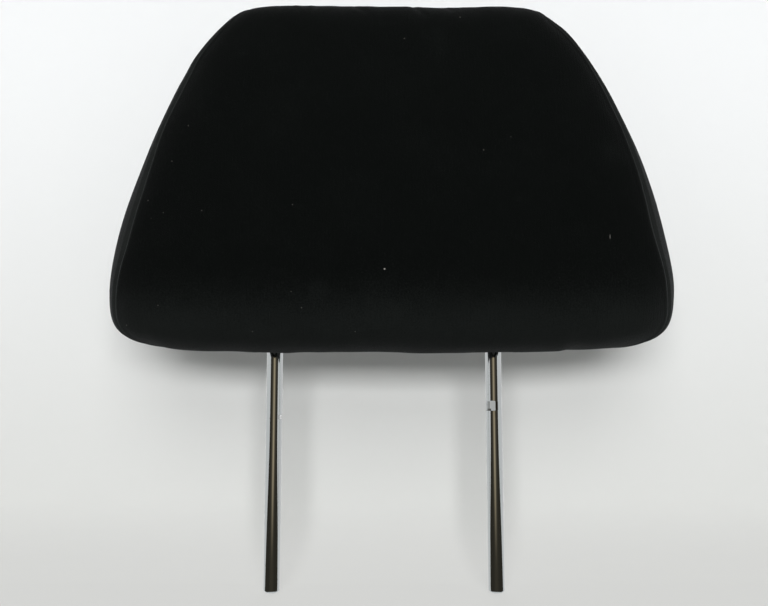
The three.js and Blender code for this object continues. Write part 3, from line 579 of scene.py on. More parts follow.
@dataclass
class UnrolledFace:
    """One face of the pad laid flat about its crown, so that a cut of cloth can be drawn on it."""

    form: PadForm
    side: Face
    stations: int = 360
    crown_rings: int = 90
    edge_rings: int = 140
    shares: int = 256

    def __post_init__(self) -> None:
        """Measure the face along its sections and tabulate them."""
        self.loop = np.linspace(0, 2, self.stations + 1)
        self.reach, self.depth = self.form.profile(self.crown_rings, self.edge_rings)
        share, mirror = halves(self.loop)
        x, z, _, _ = self.form.station(share)
        self.turn = np.unwrap(np.arctan2(z + self.form.crown_below_bar, x * mirror))
        count = len(self.reach)
        grid = self.form.surface(
            np.repeat(share[:, None], count, 1),
            np.repeat(mirror[:, None], count, 1),
            np.float64(self.side.value),
            self.reach[None, :],
            self.depth[None, :],
        )
        steps = np.linalg.norm(np.diff(grid, axis=1), axis=2)
        self.arcs = np.concatenate([np.zeros((len(share), 1)), np.cumsum(steps, axis=1)], axis=1)
        self.totals = self.arcs[:, -1]
        even = np.linspace(0, 1, self.shares + 1)
        numbers = np.arange(count)
        self.ring_at = np.array([np.interp(even, arc / arc[-1], numbers) for arc in self.arcs])

    def flat(self, loop: np.ndarray, angle: np.ndarray) -> np.ndarray:
        """The flat place of points given by the loop and an angle round the edge."""
        ring = self.crown_rings + (1 - np.degrees(angle) / self.form.edge_degrees) * self.edge_rings
        arc = sample_table(self.arcs, loop / 2 * self.stations, ring)
        turn = np.interp(loop, self.loop, self.turn)
        return np.stack([np.cos(turn) * arc, np.sin(turn) * arc], axis=-1)

    def solid(self, flat: np.ndarray) -> np.ndarray:
        """The surface points, in the part's frame, that flat places fold up to."""
        turn = np.arctan2(flat[..., 1], flat[..., 0])
        turn = np.where(turn < self.turn[0], turn + 2 * np.pi, turn)
        loop = np.interp(turn, self.turn, self.loop)
        rows = loop / 2 * self.stations
        total = np.interp(loop, self.loop, self.totals)
        part = np.clip(np.linalg.norm(flat, axis=-1) / total, 0, 1)
        ring = sample_table(self.ring_at, rows, part * self.shares)
        numbers = np.arange(len(self.reach))
        reach = np.interp(ring, numbers, self.reach)
        depth = np.interp(ring, numbers, self.depth)
        share, mirror = halves(loop)
        return self.form.to_part(self.form.surface(share, mirror, np.float64(self.side.value), reach, depth))


def blended_patch(
    left: np.ndarray, right: np.ndarray, bottom: np.ndarray, top: np.ndarray, u: np.ndarray, v: np.ndarray
) -> np.ndarray:
    """Fill the flat region between four border lines with a grid.

    Args:
        left: border at u 0, one point for each v.
        right: border at u 1.
        bottom: border at v 0, one point for each u.
        top: border at v 1.
        u: shares across.
        v: shares along.

    Returns:
        The grid as rows along v and columns along u.
    """
    u, v = u[None, :, None], v[:, None, None]
    across = (1 - u) * left[:, None] + u * right[:, None]
    along = (1 - v) * bottom[None] + v * top[None]
    low_corners = (1 - u) * (1 - v) * bottom[0] + u * (1 - v) * bottom[-1]
    high_corners = (1 - u) * v * top[0] + u * v * top[-1]
    return across + along - (low_corners + high_corners)


# Underside frame and the posts' slots


@dataclass(frozen=True)
class UndersideLayout:
    """The plane under the pad, with the places of the posts' slots, in millimetres."""

    form: PadForm
    post_x: float = 69.0
    rod_radius: float = 5.0
    leg_clearance: float = 2.0
    tilt_degrees: float = 15.0
    wall: float = 1.6
    rim: float = 3.0
    flange: float = 1.6
    sink: float = 5.2
    skirt: float = 9.0
    running_gap: float = 0.3

    @cached_property
    def slope(self) -> float:
        """The underside's own turn about X within the pad, in radians."""
        return math.atan(self.form.underside_slope)

    @cached_property
    def in_pad(self) -> Matrix:
        """The underside's frame in the pad's frame, in metres."""
        start = Matrix.Translation((0, -self.form.middle_forward[0] * MM, -self.form.below_bar * MM))
        return start @ Matrix.Rotation(self.slope, 4, "X")

    @cached_property
    def place(self) -> Matrix:
        """The underside's frame in the part's frame, in metres."""
        return self.form.place @ self.in_pad

    @cached_property
    def bar(self) -> Vector:
        """The cross bar's place in the underside's frame, in millimetres."""
        return (self.in_pad.inverted() @ Vector((0, 0, 0))) / MM

    @property
    def skirt_top(self) -> float:
        """How far inside the pad a bezel's skirt ends."""
        return self.sink + self.skirt

    def sweep(self, level: float, margin: float) -> tuple[float, float]:
        """The Y range that a post sweeps at a level, from rest to full tilt."""
        at_rest = math.radians(self.form.lean_degrees) + self.slope
        at_tilt = at_rest + math.radians(self.tilt_degrees)
        crossing = [self.bar.y - (self.bar.z - level) * math.tan(a) for a in (at_tilt, at_rest)]
        halves = [self.rod_radius / math.cos(a) for a in (at_tilt, at_rest)]
        return crossing[0] - halves[0] - margin, crossing[1] + halves[1] + margin

    @cached_property
    def slot(self) -> tuple[float, float]:
        """The Y range of a bezel's opening."""
        margin = self.leg_clearance / 2
        return self.sweep(self.sink - self.flange, margin)[0], self.sweep(self.skirt_top, margin)[1]

    def slot_distance(self, points: np.ndarray) -> tuple[np.ndarray, np.ndarray]:
        """How far points of the part's frame lie from the nearest slot's middle line, and above its plane."""
        local = seen_from(points, self.place)
        off = local[..., 1] - np.clip(local[..., 1], *self.slot_centres)
        sideways = np.minimum(abs(local[..., 0] - self.post_x), abs(local[..., 0] + self.post_x))
        return np.hypot(off, sideways), local[..., 2]

    @property
    def opening(self) -> float:
        """Half the width of a bezel's opening."""
        return self.rod_radius + self.leg_clearance

    @property
    def slot_centres(self) -> tuple[float, float]:
        """The Y of the two centres that a slot's round ends are drawn about."""
        return self.slot[0] + self.opening, self.slot[1] - self.opening

    @property
    def flange_radius(self) -> float:
        """Half the width of a bezel's flange."""
        return self.opening + self.wall + self.rim

    @property
    def inward(self) -> np.ndarray:
        """The underside's inward direction in the part's frame."""
        return np.array(self.place.to_3x3() @ Vector((0, 0, 1)))

    def draw_oval(self, name: str, x: float, radius: float, level: float, corners: int) -> bpy.types.Object:
        """Draw a flat oval round one slot and leave it open for shaping.

        Args:
            name: the object's name.
            x: the slot's place across the pad.
            radius: half the oval's width.
            level: its level in the underside's frame.
            corners: how many corners its two round ends have.

        Returns:
            The oval in edit mode, all selected.
        """
        low, high = self.slot_centres
        deselect_all()
        bpy.ops.mesh.primitive_circle_add(
            vertices=corners, radius=radius * MM, fill_type="NGON", location=(x * MM, low * MM, level * MM)
        )
        oval = bpy.context.object
        oval.name = name
        start_shaping(oval)
        select_places(oval, lambda p: p.y > low * MM + HAIR)
        bpy.ops.transform.translate(value=(0, (high - low) * MM, 0))
        bpy.ops.mesh.select_all(action="SELECT")
        return oval

    def slot_prism(self, name: str, x: float, radius: float, levels: tuple[float, float]) -> bpy.types.Object:
        """An oval prism round one slot, for cutting.

        Args:
            name: the object's name.
            x: the slot's place across the pad.
            radius: half the prism's width.
            levels: its lowest and highest level in the underside's frame.

        Returns:
            The closed prism in its place.
        """
        prism = self.draw_oval(name, x, radius, levels[0], 48)
        extrude_by((0, 0, levels[1] - levels[0]))
        bpy.ops.object.mode_set(mode="OBJECT")
        seat_at_origin(prism, self.place)
        tidy_mesh(prism)
        return prism


def start_shaping(piece: bpy.types.Object) -> None:
    """Open an object alone in edit mode with all its vertices selected."""
    make_active(piece)
    bpy.ops.object.mode_set(mode="EDIT")
    bpy.ops.mesh.select_mode(type="VERT")
    bpy.ops.mesh.select_all(action="SELECT")


def select_places(piece: bpy.types.Object, wanted: Callable[[Vector], bool]) -> None:
    """Select the vertices of the object in edit mode whose place in the scene is wanted."""
    bpy.ops.mesh.select_mode(type="VERT")
    bpy.ops.mesh.select_all(action="DESELECT")
    work = bmesh.from_edit_mesh(piece.data)
    for vertex in work.verts:
        if wanted(piece.matrix_world @ vertex.co):
            vertex.select_set(True)
    work.select_flush(True)
    bmesh.update_edit_mesh(piece.data)


def select_faces(piece: bpy.types.Object, wanted: Callable[[bmesh.types.BMFace], bool]) -> None:
    """Select the wanted faces of the object in edit mode and nothing else."""
    bpy.ops.mesh.select_all(action="DESELECT")
    bpy.ops.mesh.select_mode(type="FACE")
    work = bmesh.from_edit_mesh(piece.data)
    for face in work.faces:
        face.select_set(wanted(face))
    bmesh.update_edit_mesh(piece.data)


# Cover

CLOTH_EDGE = 70.0
CLOTH_THICKNESS = 1.7


@dataclass(frozen=True)
class Crease:
    """A short pucker in the cloth, between two places seen square to the pad's front."""

    start: tuple[float, float]
    end: tuple[float, float]
    depth: float
    width: float


@dataclass
class CoverSwelling:
    """How the stuffed cover swells between its seams, worked out as a cloth under pressure."""

    form: PadForm
    layout: UndersideLayout
    voxel: float = 5.0
    pressure: float = 12.0
    frames: int = 20
    start_inset: float = 1.6
    cap: float = 5.0
    held_within: float = 7.0
    slot_held_within: float = 2.4
    hold: float = 1.8
    neighbours: int = 7
    spread: float = 5.0
    moves: np.ndarray | None = field(default=None, init=False)
    tree: KDTree | None = field(default=None, init=False)

    def simulate(self) -> None:
        """Blow the cover up from a slightly smaller shape and keep how far each place moves."""
        points, faces = self.form.shell(self.start_inset, 160, 44)
        trial = mesh_object("cover_trial", points, faces)
        tidy_mesh(trial)
        trial.data.remesh_voxel_size = self.voxel * MM
        make_active(trial)
        bpy.ops.object.voxel_remesh()
        before = self.places(trial.data)
        self.hold_seams(trial, before)
        cloth = trial.modifiers.new("Cloth", "CLOTH")
        set_all(cloth.settings, {
            "quality": 6,
            "mass": 0.3,
            "tension_stiffness": 22,
            "compression_stiffness": 22,
            "shear_stiffness": 8,
            "bending_stiffness": 1.2,
            "use_pressure": True,
            "uniform_pressure_force": self.pressure,
            "vertex_group_mass": "held",
        })
        cloth.settings.effector_weights.gravity = 0
        cloth.point_cache.frame_start = 1
        cloth.point_cache.frame_end = self.frames
        scene = bpy.context.scene
        for number in range(1, self.frames + 1):
            scene.frame_set(number)
        swollen = trial.evaluated_get(bpy.context.evaluated_depsgraph_get())
        after = self.places(swollen.data)
        moves = after - before
        size = np.linalg.norm(moves, axis=1, keepdims=True)
        moves *= np.minimum(1, self.cap / np.maximum(size, 1e-9))
        LOG.info("the cover swells by %.1f mm on average, %.1f at most", size.mean(), size.max())
        self.moves = moves
        self.tree = tree_of(before)
        bpy.data.objects.remove(trial)
        scene.frame_set(1)

    @staticmethod
    def places(mesh: bpy.types.Mesh) -> np.ndarray:
        """The mesh's vertices in millimetres."""
        flat = np.empty(len(mesh.vertices) * 3, dtype=np.float32)
        mesh.vertices.foreach_get("co", flat)
        return flat.reshape(-1, 3).astype(float) / MM

    def hold_seams(self, trial: bpy.types.Object, places: np.ndarray) -> None:
        """Hold the cloth along the gusset seams, the closure and the slots.

        Args:
            trial: the cloth, which gets the group "held".
            places: its vertices in millimetres.
        """
        lines = [self.form.seam_line(m, s) for m in (-1, 1) for s in (-1, 1)]
        share = np.linspace(0, self.form.gusset_ends[0], 60)
        edge, level = np.ones(share.size), np.zeros(share.size)
        for mirror in (-1, 1):
            closure = self.form.surface(share, mirror, np.float64(Face.FRONT.value), edge, level)
            lines.append(self.form.to_part(closure))
        held = tree_of(np.concatenate(lines))
        from_slot, height = self.layout.slot_distance(places)
        group = trial.vertex_groups.new(name="held")
        for number, place in enumerate(places):
            near = held.find(place)[2] / self.held_within
            if abs(height[number]) < self.voxel * 2:
                near = min(near, from_slot[number] / (self.layout.opening * self.slot_held_within))
            weight = 1 - min(1.0, max(0.0, near))
            if weight > 0:
                group.add([number], min(1.0, weight * self.hold), "REPLACE")

    def move_at(self, grid: np.ndarray) -> np.ndarray:
        """How far each place of a grid moves, from the moves of its neighbours in the trial."""
        if self.moves is None:
            return np.zeros_like(grid)
        flat = grid.reshape(-1, 3)
        moved = np.empty_like(flat)
        for number, place in enumerate(flat):
            found = self.tree.find_n(place, self.neighbours)
            weights = np.array([math.exp(-((hit[2] / self.spread) ** 2)) + 1e-9 for hit in found])
            moved[number] = weights @ self.moves[[hit[1] for hit in found]] / weights.sum()
        return moved.reshape(grid.shape)


@dataclass
class ClothGrid:
    """A cut of cover cloth as a grid of points, shaped by its seams, puckers and swelling."""

    points: np.ndarray
    form: PadForm
    outward: np.ndarray | None = None
    smoothing: int = 12

    def normals(self) -> np.ndarray:
        """Unit normals of the grid that point out of the pad."""
        if self.outward is not None:
            return self.outward
        across = np.gradient(self.points, axis=1)
        along = np.gradient(self.points, axis=0)
        normal = np.cross(across, along)
        size = np.linalg.norm(normal, axis=-1, keepdims=True)
        normal = normal / np.maximum(size, 1e-9)
        centre = np.array([self.form.side_offset, -self.form.middle_forward[0], self.form.bar_height])
        outward = np.sign(np.sum(normal * (self.points - centre), axis=-1))
        flip = 1.0 if outward.sum() > 0 else -1.0
        return normal * flip

    def from_start(self, axis: int) -> np.ndarray:
        """The distance along the cloth from the grid's first row or column."""
        steps = np.linalg.norm(np.diff(self.points, axis=axis), axis=2)
        total = np.cumsum(steps, axis=axis)
        pad = [(1, 0), (0, 0)] if axis == 0 else [(0, 0), (1, 0)]
        return np.pad(total, pad)

    def from_ends(self, axis: int) -> np.ndarray:
        """The distance along the cloth from the nearer end."""
        start = self.from_start(axis)
        last = start[-1:, :] if axis == 0 else start[:, -1:]
        return np.minimum(start, last - start)

    def raise_by(self, height: np.ndarray) -> None:
        """Move the cloth out of the pad by a height in millimetres."""
        self.points = self.points + self.normals() * height[..., None]

    def smooth_moves(self, moves: np.ndarray) -> np.ndarray:
        """Even out moves over the grid, keeping its borders."""
        own, neighbour = 0.4, 0.15
        for _ in range(self.smoothing):
            inner = moves[1:-1, 1:-1]
            around = moves[:-2, 1:-1] + moves[2:, 1:-1] + moves[1:-1, :-2] + moves[1:-1, 2:]
            moves = moves.copy()
            moves[1:-1, 1:-1] = inner * own + around * neighbour
        return moves

    def swell(self, swelling: CoverSwelling) -> None:
        """Take up the cover's swelling where no seam holds it."""
        if swelling.moves is None:
            return
        moves = swelling.move_at(self.points)
        rise = np.maximum(np.sum(moves * self.normals(), axis=-1) - swelling.start_inset, 0)
        rise = self.smooth_moves(rise)
        LOG.info("the cloth rises by %.2f mm on average, %.2f at most", rise.mean(), rise.max())
        self.raise_by(rise)

    def build(self, name: str, thickness: float) -> bpy.types.Object:
        """Sew the grid into a mesh with the cloth's thickness inwards.

        Args:
            name: the object's name.
            thickness: the cloth's thickness in millimetres.

        Returns:
            The closed cloth piece.
        """
        rows, columns = self.points.shape[:2]
        row, middle = rows // 2, columns // 2
        faces = grid_faces(rows, columns)
        corner = self.points[row, middle]
        cell = np.cross(self.points[row, middle + 1] - corner, self.points[row + 1, middle] - corner)
        if cell @ self.normals()[row, middle] < 0:
            faces = faces[:, ::-1]
        across = self.from_start(1)
        across = across - across[:, middle : middle + 1]
        sides = np.full_like(across, float(self.outward is not None))
        charts = {
            "ClothMap": np.stack([across, self.from_start(0)], axis=-1).reshape(-1, 2) * MM,
            "SeamMap": np.stack([self.from_ends(1) * MM, sides], axis=-1).reshape(-1, 2),
        }
        piece = mesh_object(name, self.points.reshape(-1, 3), faces, charts)
        tidy_mesh(piece, 0.02, 0.01, outwards=False)
        finish_modifier(piece, "SOLIDIFY", thickness=thickness * MM, offset=-1, use_even_offset=False)
        soften(piece, CLOTH_EDGE)
        return piece


@dataclass
class CoverMainPanel:
    """The cover's main panel: one cloth from the closure up the front, over the top and down the back."""

    form: PadForm
    layout: UndersideLayout
    swelling: CoverSwelling
    closure_gap: float = 0.5
    seam_gap: float = 0.08
    hem_width: float = 7.0
    hem_depth: float = 0.35
    closure_depth: float = 0.9
    row_easing: float = 0.6
    corner_fade: float = 0.04
    seam_depth: float = 1.5
    ridge_height: float = 0.55
    coarse_step: float = 2.6
    creases: tuple[Crease, ...] = (
        Crease((19.0, 99.5), (24.5, 92.5), 0.9, 1.5),
        Crease((-15.5, 99.5), (-9.5, 95.0), 0.8, 1.4),
        Crease((-40.5, 99.5), (-41.5, 95.5), 0.8, 1.4),
        Crease((-53.0, 100.0), (-50.0, 96.5), 0.6, 1.3),
        Crease((37.0, 100.0), (40.0, 97.0), 0.5, 1.3),
    )

    def grid_of(self, side: Face, u: np.ndarray, v: np.ndarray) -> np.ndarray:
        """The panel's grid on one face, from the closure to the top.

        Args:
            side: the front or the back.
            u: shares across.
            v: shares along.

        Returns:
            The grid's points in the part's frame.
        """
        face = UnrolledFace(self.form, side)
        start, end = self.form.gusset_ends
        eased = v + ((1 - np.cos(np.pi * v)) / 2 - v) * self.row_easing
        share = start + (end - start) * eased
        seam = self.form.seam_angle(np.clip(share, start, end)) + self.form.edge_angle(self.seam_gap / 2)
        right = face.flat(share, seam)
        left = face.flat(2 - share, seam)
        fade = smooth_step(np.minimum(u, 1 - u) / self.corner_fade)
        closure = seam[0] + (self.form.edge_angle(self.closure_gap / 2) - seam[0]) * fade
        from_middle = (2 * u - 1) * start
        bottom = face.flat(np.where(from_middle >= 0, from_middle, 2 + from_middle), closure)
        top = face.flat(1 + (1 - 2 * u) * (1 - end), seam[-1] * (1 - fade))
        return face.solid(blended_patch(left, right, bottom, top, u, v))

    def shape(self) -> ClothGrid:
        """Lay the cloth out, let it swell and work its seams, hems and puckers in."""
        u = graded_steps(300, (0.8, 0.8), self.coarse_step, 9)
        v = graded_steps(250, (1.3, 1.4), self.coarse_step, 14)
        front = self.grid_of(Face.FRONT, u, v)
        back = self.grid_of(Face.BACK, u, v)
        cloth = ClothGrid(np.concatenate([front, back[-2::-1]]), self.form)
        cloth.swell(self.swelling)
        from_seam = cloth.from_ends(1)
        from_closure = cloth.from_ends(0)
        plain = cloth.points.copy()
        shallow = end_fade(cloth)
        cloth.raise_by(seam_relief(from_seam, self.seam_depth * shallow, self.ridge_height * shallow))
        turned = self.closure_depth * bell(from_closure, 1.6)
        cloth.raise_by(-turned - self.hem_depth * bell(from_closure - self.hem_width, 1.2))
        cloth.raise_by(self.pucker_relief(plain, from_closure) + self.form.fullness(plain))
        self.seat_bezels(cloth)
        return cloth

    def pucker_relief(self, places: np.ndarray, from_closure: np.ndarray) -> np.ndarray:
        """Heights of the named creases, of the wavy top edge and of the uneven padding.

        Args:
            places: the cloth's points before any relief.
            from_closure: their distance along the cloth from the closure.

        Returns:
            A height out of the pad for each place.
        """
        local = seen_from(places, self.form.place)
        x, z = local[..., 0], local[..., 2]
        height = 0.35 * rolling_relief(places, 46, 11) + 0.08 * rolling_relief(places, 17, 12)
        waves = 0.16 * rolling_relief(places * np.array([1, 0.3, 0.3]), 15, 13)
        height = height + ease(z, 84, 16) * waves
        front = places[..., 1] < self.form.to_part(np.array([0.0, -self.form.middle_forward[1], 104]))[1] + 6
        for crease in self.creases:
            a, b = np.array(crease.start), np.array(crease.end)
            run = b - a
            along = np.clip(((x - a[0]) * run[0] + (z - a[1]) * run[1]) / (run @ run), -0.3, 1)
            off_x, off_z = x - a[0] - along * run[0], z - a[1] - along * run[1]
            off = np.hypot(off_x, off_z)
            fade = 1 - 0.5 * np.clip(along, 0, 1)
            height = height - front * fade * crease.depth * bell(off, crease.width)
            beside = off_x * np.sign(run[0] + 1e-9)
            height = height + front * fade * 0.5 * crease.depth * bell(np.hypot(beside - 2.2, off_z), 1.8)
        return height * smooth_step(from_closure / 22)

    def seat_bezels(self, cloth: ClothGrid) -> None:
        """Press the cloth in under the bezels' flanges."""
        beside, shoulder, near = 0.2, 5.5, 12
        off, level = self.layout.slot_distance(cloth.points)
        seat = self.layout.sink + self.layout.running_gap
        press = 1 - smooth_step((off - self.layout.flange_radius - beside) / shoulder)
        target = np.maximum(level, seat)
        move = np.where(abs(level) < near, (target - level) * press, 0.0)
        cloth.points = cloth.points + self.layout.inward * move[..., None]

    def build(self, finish: bpy.types.Material) -> None:
        """Make the panel, cut the slots out of it and dress it."""
        cloth = self.shape()
        piece = cloth.build("cover_main", CLOTH_THICKNESS)
        closure = (cloth.points[0] + cloth.points[-1]) / 2
        back_seam(piece, self.form, closure, cloth.normals()[0])
        radius = self.layout.opening + self.layout.wall + self.layout.running_gap
        for side in Side:
            cutter = self.layout.slot_prism("slot_cutter", side.value * self.layout.post_x, radius, (-8, 14))
            cut_away(piece, cutter)
        soften(piece, CLOTH_EDGE)
        give_finish(piece, finish)
        enlist(piece, Body.PAD, Slot.VELOUR, "cover_main_panel")


def back_seam(piece: bpy.types.Object, form: PadForm, line: np.ndarray, outward: np.ndarray) -> None:
    """Add the allowance that lies flat under a seam and keeps the foam out of sight.

    Args:
        piece: the cloth piece that carries it.
        form: the pad's form.
        line: the seam's points.
        outward: unit directions out of the pad at those points.
    """
    half_width, columns, fold, gap, tapered = 3.2, 5, 0.35, 0.12, 6
    across = np.cross(outward, np.gradient(line, axis=0))
    across /= np.linalg.norm(across, axis=1, keepdims=True)
    number = np.arange(len(line))
    room = smooth_step(np.minimum(number, number[::-1]) / tapered)[:, None, None]
    offsets = np.linspace(-half_width, half_width, columns)[None, :, None] * room
    level = line - outward * (CLOTH_THICKNESS + gap)
    ways = np.repeat(outward[:, None], columns, 1)
    strip = ClothGrid(level[:, None] + across[:, None] * offsets, form, ways).build("seam_allowance", fold)
    make_active(piece)
    strip.select_set(True)
    bpy.ops.object.join()


def end_fade(cloth: ClothGrid) -> np.ndarray:
    """How deep a gusset seam is cut, by row: shallow under the pad and at its top."""
    along = cloth.from_start(0)
    along = (along[:, :1] + along[:, -1:]) / 2
    top = along[int(np.argmax(cloth.points[:, 0, 2]))]
    from_end = np.minimum(np.minimum(along, along[-1] - along), abs(along - top))
    least, fade = 0.2, 38
    return least + (1 - least) * smooth_step(from_end / fade)


def seam_relief(distance: np.ndarray, depth: np.ndarray, ridge: np.ndarray) -> np.ndarray:
    """Heights beside a sewn seam: the edge turns in and a ridge stands over the seam allowance."""
    fold_radius, fold_power, ridge_at, ridge_width = 1.1, 1.5, 3.2, 1.6
    turned_in = -depth * np.exp(-((distance / fold_radius) ** fold_power))
    return turned_in + ridge * bell(distance - ridge_at, ridge_width)


@dataclass
class CoverGusset:
    """A side gusset of the cover, from its end under the pad to its end on the top."""

    form: PadForm
    swelling: CoverSwelling
    side: Side
    seam_gap: float = 0.08
    seam_depth: float = 1.5
    ridge_height: float = 0.3
    coarse_step: float = 2.6

    def shape(self) -> ClothGrid:
        """Lay the gusset out, let it swell and turn its seams in."""
        start, end = self.form.gusset_ends
        tip = self.seam_gap * 2 / self.form.half_length
        v = graded_steps(300, (0.9, 0.9), self.coarse_step, 14)
        share = start + tip + (end - start - 2 * tip) * v
        w = graded_steps(64, (0.7, 0.7), self.coarse_step, 7) * 2 - 1
        half = np.maximum(0, self.form.seam_angle(share) - self.form.edge_angle(self.seam_gap / 2))
        angle = half[:, None] * w[None, :]
        reach, depth = self.form.ring(abs(angle))
        side = np.where(angle < 0, -1.0, 1.0)
        full = np.repeat(share[:, None], len(w), 1)
        points, below = (
            self.form.to_part(self.form.surface(full, self.side.value, side, reach, depth, inset))
            for inset in (0.0, 1.0)
        )
        outward = (points - below) / np.linalg.norm(points - below, axis=-1, keepdims=True)
        cloth = ClothGrid(points, self.form, outward)
        cloth.swell(self.swelling)
        places = cloth.points.copy()
        from_seam = cloth.from_ends(1)
        room = smooth_step(from_seam.max(axis=1, keepdims=True) / 6)
        shallow = end_fade(cloth)
        cloth.raise_by(seam_relief(from_seam, self.seam_depth * shallow, self.ridge_height * room * shallow))
        cloth.raise_by(0.25 * rolling_relief(places, 40, 21) * smooth_step(from_seam / 8))
        cloth.raise_by(self.form.fullness(places))
        return cloth

    def build(self, finish: bpy.types.Material) -> None:
        """Make the gusset and dress it."""
        name = self.side.name.lower()
        cloth = self.shape()
        piece = cloth.build(f"cover_gusset_{name}", CLOTH_THICKNESS)
        for edge in (0, -1):
            back_seam(piece, self.form, cloth.points[:, edge], cloth.outward[:, edge])
        give_finish(piece, finish)
        enlist(piece, Body.PAD, Slot.VELOUR, f"cover_side_{name}")


@dataclass
class FoamCore:
    """The moulded foam, with the carrier's pocket, the posts' passages and the hook groove."""

    form: PadForm
    layout: UndersideLayout
    inset: float = 3.7
    carrier_half_width: float = 84.0
    carrier_below_bar: float = 62.0
    carrier_above_bar: float = 20.0
    carrier_front: float = 34.0
    carrier_rear: float = 12.0
    gap: float = 0.3
    groove: tuple[float, float, float] = (44.6, 12.6, 10.2)
    rim_level: float = 7.6
    press_room: float = 5.2
    outside: float = -12.0
    passage_overlap: float = 10.0

    @staticmethod
    def block(name: str, low: Sequence[float], high: Sequence[float], place: Matrix) -> bpy.types.Object:
        """A block between two corners of a frame, for cutting.

        Args:
            name: the object's name.
            low: the corner with the smallest numbers, in millimetres.
            high: the corner opposite.
            place: the frame, in metres.

        Returns:
            The block in its place.
        """
        deselect_all()
        centre = [(a + b) / 2 * MM for a, b in zip(low, high)]
        bpy.ops.mesh.primitive_cube_add(size=1, location=centre)
        cutter = bpy.context.object
        cutter.name = name
        cutter.scale = [(b - a) * MM for a, b in zip(low, high)]
        seat_at_origin(cutter, place)
        return cutter

    def passage(self, x: float) -> bpy.types.Object:
        """The wedge that a post sweeps inside the foam, for cutting."""
        layout = self.layout
        half = layout.opening + layout.wall + self.gap
        high = layout.bar.z - self.carrier_below_bar + self.passage_overlap
        extra = layout.wall + 2 * layout.running_gap
        below = layout.sweep(self.outside, layout.leg_clearance)
        front = min(layout.slot[0] - extra, below[0])
        rear = max(layout.slot[1] + extra, below[1])
        corners = (x - half, front, self.outside), (x + half, rear, layout.skirt_top)
        cutter = self.block("passage", *corners, Matrix.Identity(4))
        start_shaping(cutter)
        select_faces(cutter, lambda f: f.normal.z > 0.9)
        extrude_by((0, 0, high - layout.skirt_top))
        work = bmesh.from_edit_mesh(cutter.data)
        middle = (front + rear) / 2 * MM
        top = layout.sweep(high, layout.leg_clearance)
        for vertex in work.verts:
            if vertex.co.z > (layout.skirt_top + 1) * MM:
                vertex.co.y = top[0 if vertex.co.y < middle else 1] * MM
        bmesh.update_edit_mesh(cutter.data)
        bpy.ops.object.mode_set(mode="OBJECT")
        seat_at_origin(cutter, layout.place)
        tidy_mesh(cutter)
        return cutter

    def build(self, finish: bpy.types.Material) -> None:
        """Mould the foam, cut its hollows and dress it."""
        points, faces = self.form.shell(self.inset, 150, 40)
        core = mesh_object("foam_pad", points, faces)
        tidy_mesh(core)
        low = (-self.carrier_half_width, -self.carrier_front, -self.carrier_below_bar)
        high = (self.carrier_half_width, self.carrier_rear, self.carrier_above_bar)
        corners = [v - self.gap for v in low], [v + self.gap for v in high]
        pocket = self.block("pocket", *corners, self.form.place)
        finish_modifier(pocket, "BEVEL", width=2 * MM, segments=2, limit_method="NONE")
        cut_away(core, pocket)
        half, side, rise = self.groove
        corners = (-half, -side, self.outside), (half, side, rise)
        cut_away(core, self.block("hook_groove", *corners, self.layout.place))
        radius = self.layout.flange_radius + self.gap + self.press_room
        for mirror in Side:
            x = mirror.value * self.layout.post_x
            cut_away(core, self.passage(x))
            seat = self.layout.slot_prism("rim_cutter", x, radius, (self.outside, self.rim_level))
            cut_away(core, seat)
        soften(core, 50)
        give_finish(core, finish)
        enlist(core, Body.PAD, Slot.FOAM, "foam_core")


# Rod and bezels


